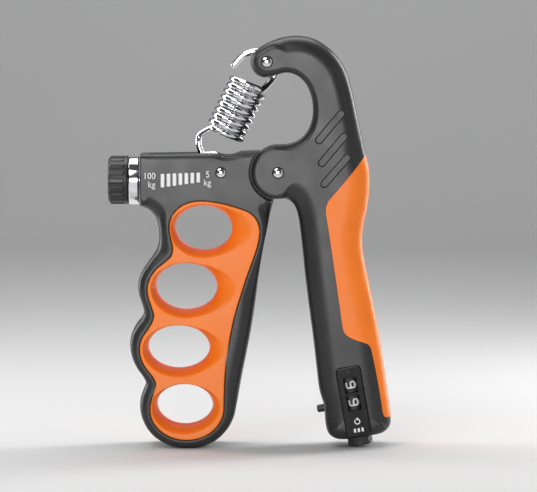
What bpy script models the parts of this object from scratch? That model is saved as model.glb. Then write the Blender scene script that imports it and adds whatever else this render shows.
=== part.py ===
"""Adjustable hand-grip dynamometer: a four-finger grip and a palm handle that turn on one pivot,
a tension spring whose lower end a knob and lead screw move, and a two-drum squeeze counter.

Every outline is drawn in millimetres round the main pivot: x to the right, z up, seen from the front.
The parts hang from empties that carry them into the world frame, in metres, with the front at -Y.
"""

import math

import bmesh
import bpy
from mathutils import Matrix, Vector

MM = 0.001

# Driving dimensions, in millimetres.
PIVOT_X, PIVOT_Z = 11.0, 107.2      # the pivot's place over the middle of the base
HALF = 12.0                         # half the thickness of grip and handle
SEAM = 0.15                         # half the gap between the front and rear shells
GAP = 0.3                           # gap between touching pieces
KNUCKLE_R = 10.3                    # the handle's two ears
TONGUE_R, TONGUE_HALF = 9.6, 4.0    # the grip's tongue between the ears
EAR_INNER = 5.2                     # inner face of each ear
EAR_CUT_R = 11.0                    # the grip's hollow round each ear
PIN_R, PIN_HEAD_R = 1.75, 2.2
HOOK_PIN_AT = (-4.3, 42.8)
RIVET_AT = (-22.1, 0.05)
SCREW_FROM = (-60.0, -3.3)          # a point on the lead screw's axis
THREAD_R = 2.2
CARRIAGE_FROM, CARRIAGE_TO = -36.3, -28.7
LOWER_PIN_AT = (-25.3, 5.5)
WIRE_R, COIL_R, COILS = 1.2, 6.95, 8.5
COIL_FOOT, COIL_HEAD = (-21.4, 13.4), (-10.7, 35.5)
COUNTER_TILT = 10.0                 # degrees by which the counter's axis leans from the vertical
COUNTER_AT = (29.9, -92.3)          # foot of the units drum on the counter's axis
DRUM_R, DRUM_Y, DRUM_WIDTH, DRUM_STEP = 6.6, -3.3, 6.2, 6.9
RESET_R, RESET_FROM, RESET_TO = 4.8, -9.6, -14.35
PLUNGER_AT, PLUNGER_Y = 1.2, 5.1
CARRY_AT = (4.6, 4.4, 0.0)
ROUND = 16                          # sides of a round piece

# Outlines. A run of points is one smooth curve, and two runs meet at a corner.
GRIP_SIDE = [
    (-2.3, -11.2), (-3.9, -20), (-5.9, -30), (-7.5, -40), (-8.8, -50), (-10.3, -60), (-12.2, -70),
    (-14.2, -80), (-16.0, -90), (-17.3, -95.5), (-20.0, -100.3), (-24.5, -104.5), (-30.0, -106.7),
    (-35.2, -107.2), (-40.5, -106.6), (-45.5, -104.6), (-49.7, -101.1), (-52.4, -96.6), (-53.6, -91.8),
    (-53.3, -87.3), (-52.0, -84.0), (-51.3, -81.8), (-52.4, -79.2), (-54.8, -75.8), (-56.7, -71.5),
    (-57.4, -66.8), (-56.8, -62.6), (-55.0, -59.3), (-52.9, -56.7), (-52.0, -54.0), (-52.6, -51.0),
    (-53.8, -47.5), (-54.2, -43.5), (-53.3, -39.5), (-51.1, -36.0), (-48.9, -32.9), (-47.0, -29.6),
    (-46.1, -25.8), (-46.2, -21.5), (-47.3, -17.7), (-49.9, -14.6), (-53.4, -12.9),
]
GRIP_TOP = [(-53.4, 7.0), (-5.15, 8.1)]
INSERT = [
    (-28.3, -10.9), (-22.5, -11.7), (-16.8, -13.2), (-11.7, -15.0), (-8.7, -17.5), (-7.2, -21.0),
    (-7.2, -25.0), (-8.2, -29.5), (-10.0, -34.7), (-12.1, -40.5), (-14.5, -48.0), (-16.6, -55.0),
    (-18.4, -63.0), (-19.8, -71.5), (-20.6, -80.0), (-20.9, -88.0), (-21.1, -93.3), (-22.6, -97.2),
    (-25.8, -100.9), (-30.3, -103.2), (-35.6, -104.0), (-41.0, -103.1), (-45.6, -100.5), (-48.6, -96.7),
    (-49.7, -92.5), (-49.2, -88.5), (-48.1, -85.0), (-47.5, -82.0), (-48.5, -79.5), (-51.1, -76.1),
    (-53.1, -72.3), (-53.7, -68.3), (-52.9, -64.4), (-50.7, -61.0), (-48.9, -58.0), (-48.2, -55.3),
    (-49.0, -52.2), (-50.2, -48.7), (-50.7, -45.0), (-49.8, -41.2), (-47.3, -37.4), (-43.9, -34.6),
    (-41.5, -32.3), (-40.8, -29.5), (-41.4, -26.0), (-42.1, -22.2), (-41.8, -18.6), (-40.0, -15.2),
    (-36.8, -12.5), (-32.7, -11.1),
]
HANDLE_SIDE = [
    (0.9, 10.26), (4.7, 10.7), (8.4, 12.3), (11.3, 15.3), (13.1, 19.5), (13.6, 24.5), (12.8, 29.5),
    (10.8, 34.0), (7.4, 37.3), (3.3, 38.5), (-0.9, 37.6), (-5.3, 36.7), (-8.4, 38.0), (-10.3, 40.7),
    (-10.6, 43.8), (-9.2, 46.6), (-6.1, 48.9), (-1.7, 51.1), (2.8, 52.4), (7.2, 52.8), (11.7, 52.3),
    (15.3, 51.0), (18.6, 48.9), (21.7, 46.2), (24.4, 42.8), (26.4, 39.0), (28.2, 33.5), (29.5, 28.0),
    (30.9, 21.5), (32.5, 14.0), (34.0, 6.8), (35.1, 2.0), (35.5, -3.0), (35.3, -8.0), (34.5, -14.0),
    (33.3, -19.5), (32.7, -25.0), (32.9, -30.5), (33.9, -36.0), (35.1, -42.0), (36.8, -50.0),
    (38.6, -59.0), (40.3, -69.0), (41.9, -79.5), (43.3, -89.5), (44.0, -95.3), (43.5, -98.8),
    (41.0, -101.2), (37.0, -102.4), (31.0, -103.4), (26.0, -104.0), (22.3, -103.6), (19.7, -101.7),
    (18.6, -98.6), (18.3, -95.0), (17.9, -90.8), (16.8, -87.4), (15.9, -83.8), (15.3, -79.0),
    (14.4, -71.0), (13.5, -63.5), (12.5, -56.0), (11.4, -47.5), (10.4, -39.0), (9.5, -30.0),
    (8.5, -21.5), (7.6, -16.3), (6.2, -12.7), (4.1, -10.8), (1.8, -10.14),
]
PAD_EDGE = [
    (34.6, 7.9), (30.0, 1.6), (25.0, -4.4), (20.6, -9.5), (19.0, -11.8), (18.4, -14.5), (18.9, -18.5),
    (20.0, -25.5), (21.7, -37.0), (23.3, -48.0), (24.8, -58.5), (25.5, -61.6), (27.1, -63.4),
    (30.5, -65.0), (34.3, -66.3), (35.8, -67.7), (36.6, -70.5), (38.7, -81.0), (40.2, -90.0),
    (40.7, -93.2), (41.8, -95.1), (44.5, -94.8),
]
# Each finger hole: centre, half width and half height at the throat, then how far its mouth spreads
# left, right, up and down at the face.
FINGER_HOLES = [
    ((-28.9, -21.9), (11.1, 8.8), (1.8, 8.0, 1.2, 2.4)),
    ((-35.6, -44.7), (11.9, 9.4), (1.9, 7.6, 0.8, 2.4)),
    ((-38.6, -68.4), (12.0, 8.8), (2.0, 5.6, 0.8, 2.2)),
    ((-36.3, -90.9), (10.9, 8.4), (2.0, 2.9, 0.8, 2.6)),
]
GROOVES = [((15.8, 12.6), (24.3, 22.7)), ((16.9, 3.8), (25.4, 13.9)), ((17.9, -4.3), (26.6, 5.7))]
GROOVE_R, GROOVE_DEPTH = 1.45, 0.8
GRIP_SCREWS = [(-47.6, -11.0), (-12.6, -9.6), (-18.3, -87.0)]
HANDLE_SCREWS = [(20.5, 33.0), (14.2, -6.5), (20.6, -67.5)]

# Edge rounding of the two bodies: (share of the rounding inwards, share of it down from the face).
ROUNDING = [(0.0, 1.0), (0.29, 0.29), (1.0, 0.0)]
GRIP_ROUND, HANDLE_ROUND = 2.6, 3.2

COLOURS = {
    "graphite_plastic": ((0.10, 0.10, 0.105), 0.42, 0.0),
    "orange_rubber": ((0.95, 0.30, 0.03), 0.5, 0.0),
    "chrome_steel": ((0.82, 0.82, 0.84), 0.12, 1.0),
    "plain_steel": ((0.55, 0.55, 0.57), 0.35, 1.0),
    "black_gloss": ((0.02, 0.02, 0.022), 0.2, 0.0),
    "drum_plastic": ((0.05, 0.05, 0.055), 0.5, 0.0),
    "bearing_brass": ((0.7, 0.52, 0.25), 0.35, 1.0),
}
materials = {}
frames = {}


def material(name):
    if name not in materials:
        colour, roughness, metallic = COLOURS[name]
        made = bpy.data.materials.new(name)
        made.use_nodes = True
        shader = made.node_tree.nodes["Principled BSDF"]
        shader.inputs["Base Color"].default_value = (*colour, 1.0)
        shader.inputs["Roughness"].default_value = roughness
        shader.inputs["Metallic"].default_value = metallic
        materials[name] = made
    return materials[name]


# Points and outlines.

def smooth(points, steps, closed=False):
    """Catmull-Rom curve through the points, with that many steps to a span."""
    count = len(points)
    found = []
    for i in range(count if closed else count - 1):
        if closed:
            p = [points[(i + k) % count] for k in (-1, 0, 1, 2)]
        else:
            p = [points[min(max(i + k, 0), count - 1)] for k in (-1, 0, 1, 2)]
        for step in range(steps):
            t = step / steps
            weights = (
                -0.5 * t + t * t - 0.5 * t ** 3,
                1 - 2.5 * t * t + 1.5 * t ** 3,
                0.5 * t + 2 * t * t - 1.5 * t ** 3,
                -0.5 * t * t + 0.5 * t ** 3,
            )
            found.append(tuple(sum(w * q[k] for w, q in zip(weights, p)) for k in range(len(p[0]))))
    return found if closed else found + [tuple(points[-1])]


def arc(centre, radius, start, end, steps):
    """Points of an arc, with its angles in degrees."""
    angles = [math.radians(start + (end - start) * i / steps) for i in range(steps + 1)]
    return [(centre[0] + radius * math.cos(a), centre[1] + radius * math.sin(a)) for a in angles]


def circle(centre, radius, sides=ROUND):
    return arc(centre, radius, 0, 360, sides)[:-1]


def area(points):
    pairs = zip(points, points[1:] + points[:1])
    return sum(a[0] * b[1] - b[0] * a[1] for a, b in pairs) / 2


def inset(points, distance):
    """The outline moved inwards by a distance, corner by corner."""
    turn = 1 if area(points) > 0 else -1
    moved = []
    for before, here, after in zip(points[-1:] + points[:-1], points, points[1:] + points[:1]):
        one = (Vector(here) - Vector(before)).normalized()
        two = (Vector(after) - Vector(here)).normalized()
        normal = Vector((-one.y - two.y, one.x + two.x)).normalized() * turn
        stretch = min(1 / max(normal.dot(Vector((-one.y, one.x)) * turn), 0.5), 1.4)
        moved.append(tuple(Vector(here) + normal * distance * stretch))
    return moved


def stadium(start, end, radius, steps=6):
    """Outline of a slot with round ends."""
    heading = math.degrees(math.atan2(end[1] - start[1], end[0] - start[0]))
    return (arc(end, radius, heading - 90, heading + 90, steps)
            + arc(start, radius, heading + 90, heading + 270, steps))


def box_outline(x0, z0, x1, z1):
    return [(x0, z0), (x1, z0), (x1, z1), (x0, z1)]


def grip_outline(steps=1):
    """Silhouette of the grip with its tongue."""
    tongue = arc((0, 0), TONGUE_R, 122.4, -102, 15)
    return GRIP_TOP[:1] + tongue + smooth(GRIP_SIDE, steps)


def handle_outline(steps=1):
    """Silhouette of the handle with its knuckle."""
    return smooth(HANDLE_SIDE, steps) + arc((0, 0), KNUCKLE_R, -89, -269, 12)


def pad_region(grow=0.0, steps=1):
    """The orange pad's front edge, closed well outside the handle."""
    edge = smooth(PAD_EDGE, steps)
    region = edge + [(52.0, -94.8), (52.0, 7.9)]
    return inset(region, -grow) if grow else region


def pad_core(depth):
    """What the pad wraps: the handle's right side moved in, closed far to the left."""
    outline = handle_outline()
    inner = inset(outline, depth)
    side = [b for a, b in zip(outline, inner) if a[0] > 27 and -99.5 < a[1] < 30]
    return side + [(16.0, -99.0), (4.0, -60.0), (4.0, 30.0)]


# Meshes. A mesh is made in millimetres and scaled once, when its object is made.

def loft(rings):
    """A closed solid through rings of as many points each."""
    bm = bmesh.new()
    loops = [[bm.verts.new(p) for p in ring] for ring in rings]
    for low, high in zip(loops, loops[1:]):
        for i in range(len(low)):
            j = (i + 1) % len(low)
            bm.faces.new((low[i], low[j], high[j], high[i]))
    bm.faces.new(loops[0])
    bm.faces.new(loops[-1])
    bmesh.ops.recalc_face_normals(bm, faces=bm.faces)
    return bm


def prism(outline, y0, y1):
    """The outline carried from y0 to y1."""
    return loft([[(x, y, z) for x, z in outline] for y in (y0, y1)])


def rounded_half(outline, side, rounding):
    """Half of a body, from the seam to the face on that side (-1 front, 1 rear), its face edge rounded."""
    rings = [[(x, side * SEAM, z) for x, z in outline]]
    for inwards, down in ROUNDING:
        shape = inset(outline, inwards * rounding) if inwards else outline
        rings.append([(x, side * (HALF - down * rounding), z) for x, z in shape])
    return loft(rings)


def turned(profile, sides=ROUND):
    """A solid of revolution about Z from (radius, height) pairs, with flat ends."""
    rings = []
    for radius, height in profile:
        rings.append([(x, y, height) for x, y in circle((0, 0), radius, sides)])
    return loft(rings)


def bored(profile, bore, sides=ROUND):
    """The same with a plain hole along the axis."""
    low, high = profile[0][1], profile[-1][1]
    rings = [[(x, y, height) for x, y in circle((0, 0), radius, sides)] for radius, height in
             [(bore, low), *profile, (bore, high)]]
    bm = bmesh.new()
    loops = [[bm.verts.new(p) for p in ring] for ring in rings]
    for first, second in zip(loops, loops[1:] + loops[:1]):
        for i in range(sides):
            j = (i + 1) % sides
            bm.faces.new((first[i], first[j], second[j], second[i]))
    bmesh.ops.recalc_face_normals(bm, faces=bm.faces)
    return bm


def toothed(root, tip, teeth, low, high, bore, lean=0.0):
    """A toothed wheel about Z with a hole. The teeth lean by a share of their pitch."""
    outline = []
    for i in range(teeth):
        for radius, share in ((root, 0.0), (tip, 0.25 + lean), (tip, 0.5 + lean), (root, 0.75)):
            a = math.tau * (i + share) / teeth
            outline.append((radius * math.cos(a), radius * math.sin(a)))
    inner = []
    for i in range(len(outline)):
        a = math.atan2(outline[i][1], outline[i][0])
        inner.append((bore * math.cos(a), bore * math.sin(a)))
    bm = bmesh.new()
    loops = []
    for shape, height in ((inner, low), (outline, low), (outline, high), (inner, high)):
        loops.append([bm.verts.new((x, y, height)) for x, y in shape])
    for first, second in zip(loops, loops[1:] + loops[:1]):
        for i in range(len(outline)):
            j = (i + 1) % len(outline)
            bm.faces.new((first[i], first[j], second[j], second[i]))
    bmesh.ops.recalc_face_normals(bm, faces=bm.faces)
    return bm


def wire(points, radius, sides=8):
    """A round wire along the points, by parallel transport, with flat ends."""
    places = [Vector(p) for p in points]
    tangents = []
    for before, after in zip(places[:1] + places[:-1], places[1:] + places[-1:]):
        tangents.append((after - before).normalized())
    normal = tangents[0].orthogonal().normalized()
    rings = []
    for place, tangent in zip(places, tangents):
        normal = (normal - tangent * normal.dot(tangent)).normalized()
        across = tangent.cross(normal)
        ring = []
        for i in range(sides):
            a = math.tau * i / sides
            ring.append(tuple(place + (normal * math.cos(a) + across * math.sin(a)) * radius))
        rings.append(ring)
    return loft(rings)


# Objects.

def add_frame(name, at, tilt=0.0, y=0.0):
    """An empty at a place of the drawing, its own Z leaning towards +x by tilt degrees."""
    empty = bpy.data.objects.new(name, None)
    bpy.context.scene.collection.objects.link(empty)
    empty.location = ((PIVOT_X + at[0]) * MM, y * MM, (PIVOT_Z + at[1]) * MM)
    empty.rotation_euler = (0.0, math.radians(tilt), 0.0)
    frames[name] = empty
    return empty


def add(name, bm, look, frame="main_pivot", sharp=35.0):
    bmesh.ops.scale(bm, vec=(MM, MM, MM), verts=bm.verts)
    mesh = bpy.data.meshes.new(name)
    bm.to_mesh(mesh)
    bm.free()
    mesh.shade_smooth()
    mesh.set_sharp_from_angle(angle=math.radians(sharp))
    obj = bpy.data.objects.new(name, mesh)
    bpy.context.scene.collection.objects.link(obj)
    obj.parent = frames[frame]
    if look:
        mesh.materials.append(material(look))
    return obj


def cutter(name, bm, frame="main_pivot"):
    obj = add(name, bm, None, frame)
    obj.hide_render = True
    obj.display_type = "WIRE"
    return obj


def boolean(obj, other, operation="DIFFERENCE"):
    modifier = obj.modifiers.new(other.name, "BOOLEAN")
    modifier.object = other
    modifier.operation = operation
    modifier.solver = "EXACT"


def turn_to_y(bm):
    """Turns a piece made about Z so that it lies along Y."""
    bmesh.ops.rotate(bm, cent=(0, 0, 0), matrix=Matrix.Rotation(math.radians(-90), 3, "X"), verts=bm.verts)
    return bm


def turn_to_x(bm):
    bmesh.ops.rotate(bm, cent=(0, 0, 0), matrix=Matrix.Rotation(math.radians(90), 3, "Y"), verts=bm.verts)
    return bm


def move(bm, x=0.0, y=0.0, z=0.0):
    bmesh.ops.translate(bm, vec=(x, y, z), verts=bm.verts)
    return bm


def pin_along_y(at, profile, sides=ROUND):
    return move(turn_to_y(turned(profile, sides)), at[0], 0, at[1])


def pin_hole(name, at, radius, head_radius, head_from):
    """Cutter for a pin with a head on each side."""
    profile = [(head_radius, -20), (head_radius, -head_from), (radius, -head_from), (radius, head_from),
               (head_radius, head_from), (head_radius, 20)]
    return cutter(name, pin_along_y(at, profile))


def headed_pin(radius, head_radius, head_from, front, rear):
    """Pin with a domed head on each side: the front one stands proud, the rear one lies under the face."""
    rim = head_radius - 0.5
    return [(rim, -front), (head_radius, -front + 0.35), (head_radius, -head_from), (radius, -head_from),
            (radius, head_from), (head_radius, head_from), (head_radius, rear - 0.25), (rim, rear)]


# The grip.

def finger_mouth(hole, spread, y, sides=20):
    """Ring of a finger hole, with its mouth spread by a share."""
    (cx, cz), (half_w, half_h), (left, right, up, down) = hole
    ring = []
    for i in range(sides):
        a = math.tau * i / sides
        wide = half_w + spread * (right if math.cos(a) > 0 else left)
        high = half_h + spread * (up if math.sin(a) > 0 else down)
        ring.append((cx + wide * math.cos(a), y, cz + high * math.sin(a)))
    return ring


def finger_cutter(index, side):
    hole = FINGER_HOLES[index]
    steps = [(0.0, -1.0), (0.0, 5.0), (0.2, 9.0), (1.0, HALF), (1.3, HALF + 1.0)]
    rings = [finger_mouth(hole, spread, side * depth) for spread, depth in steps]
    return cutter(f"finger_{index}_{'rear' if side > 0 else 'front'}", loft(rings))


def grip_cutters():
    """What both grip shells are cut by."""
    foot = -7.5
    window = smooth(INSERT, 1, closed=True)
    found = [
        cutter("insert_window", prism(window, -20, 20)),
        cutter("carriage_bay", prism(box_outline(-51.6, foot, -19.9, 3.5), -8.0, 8.0)),
        cutter("top_slot", prism(box_outline(-50.3, 2.5, -14.7, 14.0), -4.9, 4.9)),
        cutter("coil_relief", prism(circle((-19.6, 16.3), 9.9, 32), -20, 20)),
        cutter("end_bush_seat", turn_to_x(turned([(3.6, 39.8), (3.6, 44.6)])), "lead_screw_axis"),
        cutter("screw_hole", turn_to_x(turned([(2.8, 5.0), (2.8, 12.0)])), "lead_screw_axis"),
        pin_hole("rivet_hole", RIVET_AT, 1.35, 2.45, 10.9),
        cutter("bush_bore", pin_along_y((0, 0), [(3.6, -20), (3.6, 20)])),
    ]
    for side in (-1, 1):
        hollow = prism(circle((0, 0), EAR_CUT_R, 32), side * TONGUE_HALF, side * 20)
        found.append(cutter(f"ear_hollow_{side + 1}", hollow))
    return found


def screw_hole(name, at, head_depth):
    """Cutter for a self-tapping screw put in from the rear."""
    profile = [(1.15, -7.5), (1.15, HALF - head_depth), (1.95, HALF - head_depth), (1.95, 20)]
    return cutter(name, pin_along_y(at, profile, 8))


def case_screw(head_depth):
    """Self-tapping screw with a pan head."""
    head = HALF - head_depth + 0.2
    return [(0.3, -7.0), (0.85, -6.0), (0.85, head), (1.65, head), (1.65, head + 0.9), (1.2, head + 1.3)]


SCREW_HEAD_DEPTH = 3.0


def build_grip():
    cutters = grip_cutters()
    for i, at in enumerate(GRIP_SCREWS):
        cutters.append(screw_hole(f"grip_screw_hole_{i}", at, SCREW_HEAD_DEPTH))
        add(f"grip_screw_{i + 1}", pin_along_y(at, case_screw(SCREW_HEAD_DEPTH), 8), "plain_steel")
    outline = grip_outline()
    for side, word in ((-1, "front"), (1, "rear")):
        shell = add(f"grip_shell_{word}", rounded_half(outline, side, GRIP_ROUND), "graphite_plastic")
        for obj in cutters:
            boolean(shell, obj)
        insert_shape = inset(smooth(INSERT, 1, closed=True), GAP)
        body = loft([[(x, side * y, z) for x, z in inset(insert_shape, d)] for y, d in
                     ((SEAM, 0.001), (HALF - 0.5, 0.001), (HALF, 0.5))])
        insert = add(f"finger_insert_{word}", body, "orange_rubber")
        for index in range(len(FINGER_HOLES)):
            boolean(insert, finger_cutter(index, side))
    add("pivot_bush", turn_to_y(bored([(3.3, -3.9), (3.3, 3.9)], 1.9)), "bearing_brass")
    rivet = headed_pin(1.2, 2.1, 11.1, HALF + 0.2, HALF - 0.1)
    add("housing_rivet", pin_along_y(RIVET_AT, rivet), "chrome_steel")


# The adjuster. The lead screw's frame has its own X along the screw, from left to right.

def ribbed(radius, rib, count, low, high):
    """Knob body about Z: a drum with shallow grooves along its side, and a rounded outer end."""
    sides = count * 3

    def ring(size, height, depth):
        points = []
        for i in range(sides):
            a = math.tau * i / sides
            r = size - (depth if i % 3 == 0 else 0.0)
            points.append((r * math.cos(a), r * math.sin(a), height))
        return points

    return loft([ring(radius - 1.0, low, 0.0), ring(radius, low + 1.0, rib), ring(radius, high - 1.6, rib),
                 ring(radius, high - 1.3, 0.0), ring(radius, high, 0.0)])


def build_adjuster():
    ribs = turn_to_x(ribbed(9.5, 0.55, 16, -6.0, 1.7))
    knob = add("adjust_knob", ribs, "graphite_plastic", "lead_screw_axis")
    boolean(knob, cutter("knob_socket", turn_to_x(turned([(3.3, -3.0), (3.3, 4.0)])), "lead_screw_axis"))
    boolean(knob, cutter("knob_face", turn_to_x(turned([(6.3, -8.0), (6.3, -4.6)])), "lead_screw_axis"))
    boolean(knob, cutter("knob_bolt_hole", turn_to_x(turned([(1.4, -5.0), (1.4, -2.0)])), "lead_screw_axis"))
    cap = turn_to_x(turned([(5.2, -5.9), (6.0, -5.5), (6.0, -5.0)]))
    add("knob_cap", cap, "black_gloss", "lead_screw_axis")
    # The bolt's head lies in the cap's shadow and its shank reaches into the lead screw's end.
    add("knob_bolt", turn_to_x(turned([(1.1, -4.5), (1.1, -1.3)])), "plain_steel", "lead_screw_axis")
    collar = bored([(9.2, 2.0), (9.6, 2.3), (9.6, 5.7), (9.2, 6.0)], 2.9)
    add("knob_collar", turn_to_x(collar), "chrome_steel", "lead_screw_axis")
    shaft = [(3.0, -1.0), (3.0, 1.5), (2.5, 1.5), (2.5, 9.2), (THREAD_R, 9.2), (THREAD_R, 36.2), (1.0, 36.2),
             (1.0, 39.6), (1.9, 39.9), (1.9, 44.2)]
    add("lead_screw", turn_to_x(turned(shaft, 12)), "plain_steel", "lead_screw_axis")
    washer = bored([(4.2, 6.2), (4.2, 6.5)], 2.75)
    add("thrust_washer", turn_to_x(washer), "plain_steel", "lead_screw_axis")
    end_bush = bored([(3.4, 40.1), (3.4, 44.3)], 2.05)
    add("screw_end_bush", turn_to_x(end_bush), "bearing_brass", "lead_screw_axis")


def build_carriage():
    """The nut that the lead screw moves, with two ears for the spring's lower pin."""
    px, pz = LOWER_PIN_AT
    block = prism(box_outline(CARRIAGE_FROM, -7.0, CARRIAGE_TO, 2.0), -7.5, 7.5)
    body = add("hook_carriage", block, "plain_steel")
    ear = ([(-34.5, 1.0), (-29.0, 1.0), (-27.0, 3.2)] + arc((px, pz), 2.4, -90, 90, 8)
           + [(-30.0, 7.4), (-34.5, 4.0)])
    boolean(body, cutter("ears", prism(ear, -4.3, 4.3)), "UNION")
    boolean(body, cutter("hook_gap", prism(box_outline(-36.0, 2.0, -20.0, 12.0), -1.6, 1.6)))
    boolean(body, cutter("nut_bore", turn_to_x(turned([(THREAD_R + 0.15, 20), (THREAD_R + 0.15, 36)])),
                         "lead_screw_axis"))
    boolean(body, cutter("ear_holes", pin_along_y(LOWER_PIN_AT, [(1.65, -8), (1.65, 8)])))
    add("lower_hook_pin", pin_along_y((0, 0), [(1.15, -4.6), (1.15, 4.6)]), "plain_steel", "lower_hook_axis")


# The spring, drawn in the pivot's own x and z.

def coil_point(turn):
    """Point of the coils' centre line, that many turns from the lower end."""
    foot, head = Vector(COIL_FOOT), Vector(COIL_HEAD)
    along = (head - foot).normalized()
    across = Vector((along.y, -along.x))
    body = (head - foot).length - 2 * WIRE_R
    a = math.pi + math.tau * turn
    flat = foot + along * (WIRE_R + body * turn / COILS) + across * COIL_R * math.cos(a)
    return (flat.x, COIL_R * math.sin(a), flat.y)


def coil_line(start, end, steps):
    return [coil_point(start + (end - start) * i / steps) for i in range(steps + 1)]


def build_spring():
    """The spring's one wire, in three lengths that meet end to end: each is carried by its own body."""
    px, pz = LOWER_PIN_AT
    lower = [(px + 1.0, 0.0, pz - 2.55), (px - 1.1, 0.0, pz - 2.6), (px - 3.3, 0.0, pz - 0.6),
             (-30.3, 0.0, 8.6), (-30.9, 0.0, 11.6), (-30.2, 0.0, 14.4)]
    hx, hz = HOOK_PIN_AT
    upper = [(-2.5, 0.0, 35.6), (-0.8, 0.0, 38.6), (0.2, 0.0, 42.0), (hx + 3.0, 0.0, hz + 2.4),
             (hx, 0.0, hz + 3.4), (-9.0, 0.0, 46.7), (-13.6, 0.0, 45.0), (-17.4, 0.0, 41.0)]
    joint, gap = 0.2, 0.02
    lower_line = smooth(lower, 2) + coil_line(0.1, joint, 1)
    upper_line = coil_line(COILS - joint, COILS - 0.1, 1) + smooth(upper, 2)
    coils = coil_line(joint + gap, COILS - joint - gap, 80)
    add("spring_lower_hook", wire(lower_line, WIRE_R, 6), "chrome_steel")
    add("spring_coils", wire(coils, WIRE_R, 6), "chrome_steel")
    add("spring_upper_hook", wire(upper_line, WIRE_R, 6), "chrome_steel")


# The handle.

def handle_cutters():
    tip_slot = [(-14.0, 30.0), (-4.0, 30.0), (2.5, 35.0), (5.5, 41.0),
                (3.5, 47.0), (-3.0, 56.0), (-14.0, 56.0)]
    hollow = [(11.5, -17.5), (15.0, -14.5), (17.5, -22.0), (20.5, -38.0), (23.0, -54.0), (24.0, -63.5),
              (18.0, -63.5), (15.4, -52.0), (13.2, -35.0)]
    found = [
        cutter("tongue_space", prism(circle((0, 0), KNUCKLE_R + 0.4, 32), -EAR_INNER, EAR_INNER)),
        cutter("tip_slot", prism(tip_slot, -2.15, 2.15)),
        cutter("handle_hollow", prism(hollow, -8.6, 8.6)),
        pin_hole("pivot_hole", (0, 0), PIN_R + 0.15, PIN_HEAD_R + 0.3, 10.9),
        pin_hole("hook_pin_hole", HOOK_PIN_AT, 1.65, 2.6, 10.9),
        cutter("counter_bay", prism(box_outline(-8.6, -6.2, 7.2, 16.5), -9.0, 8.8), "counter_axis"),
        cutter("plunger_hole", move(turn_to_x(turned([(1.8, -20), (1.8, -6)])), 0, PLUNGER_Y, PLUNGER_AT),
               "counter_axis"),
        cutter("reset_hole", move(turned([(5.1, -20), (5.1, -8.6)]), 0, DRUM_Y, 0), "counter_axis"),
        cutter("reset_shaft_hole", move(turned([(2.2, -9), (2.2, -5)]), 0, DRUM_Y, 0), "counter_axis"),
    ]
    for i, (start, end) in enumerate(GROOVES):
        for side in (-1, 1):
            shape = stadium(start, end, GROOVE_R)
            bm = prism(shape, side * (HALF - GROOVE_DEPTH), side * 20)
            found.append(cutter(f"groove_{i}_{side + 1}", bm))
    return found


def build_handle():
    outline = handle_outline()
    recess = cutter("pad_recess", prism(pad_region(GAP), -20, 20))
    boolean(recess, cutter("shell_core", prism(pad_core(2.5), -9.5, 9.5)))
    bezel_seat = cutter("bezel_seat", prism(inset(bezel_outline(), -GAP), -20, -8.5), "counter_axis")
    cutters = [recess, *handle_cutters()]
    for i, at in enumerate(HANDLE_SCREWS):
        cutters.append(screw_hole(f"handle_screw_hole_{i}", at, SCREW_HEAD_DEPTH))
        screw = pin_along_y(at, case_screw(SCREW_HEAD_DEPTH), 8)
        add(f"handle_screw_{i + 1}", screw, "plain_steel", "handle_pivot")
    for side, word in ((-1, "front"), (1, "rear")):
        shell = add(f"handle_shell_{word}", rounded_half(outline, side, HANDLE_ROUND), "graphite_plastic",
                    "handle_pivot")
        for obj in cutters + ([bezel_seat] if side < 0 else []):
            boolean(shell, obj)
    whole = []
    for inwards, down in ROUNDING[::-1]:
        shape = inset(outline, inwards * HANDLE_ROUND) if inwards else outline
        whole.append((shape, -(HALF - down * HANDLE_ROUND)))
    whole += [(shape, -y) for shape, y in whole[::-1]]
    body = loft([[(x, y, z) for x, z in shape] for shape, y in whole])
    pad = add("palm_pad", body, "orange_rubber", "handle_pivot")
    boolean(pad, cutter("pad_trim", prism(pad_region(), -20, 20)), "INTERSECT")
    boolean(pad, cutter("pad_core", prism(pad_core(2.2), -9.8, 9.8)))
    pivot = turn_to_y(turned(headed_pin(PIN_R, PIN_HEAD_R, 11.1, HALF + 0.2, HALF - 0.1)))
    add("pivot_pin", pivot, "chrome_steel", "handle_pivot")
    hook = pin_along_y(HOOK_PIN_AT, headed_pin(1.5, 2.25, 11.1, HALF + 0.2, HALF - 0.1))
    add("hook_pin", hook, "chrome_steel", "handle_pivot")
    for side, word in ((-1, "front"), (1, "rear")):
        low, high = sorted((side * (TONGUE_HALF + 0.3), side * (EAR_INNER - 0.3)))
        add(f"pivot_washer_{word}", turn_to_y(bored([(6.0, -high), (6.0, -low)], 1.95)), "plain_steel",
            "handle_pivot")


# The counter, in a frame whose Z runs up along the drums' axle.

def bezel_outline():
    corner = 1.6
    left, right, low, high = -4.85, 4.85, -10.2, 17.3
    return (arc((right - corner, high - corner), corner, 0, 90, 4)
            + arc((left + corner, high - corner), corner, 90, 180, 4)
            + arc((left + corner, low + corner), corner, 180, 270, 4)
            + arc((right - corner, low + corner), corner, 270, 360, 4))


def drum(low):
    """Number drum with ten flats."""
    flats = [(DRUM_R, low), (DRUM_R, low + DRUM_WIDTH)]
    return move(bored(flats, 1.35, 20), 0, DRUM_Y, 0)


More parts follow.
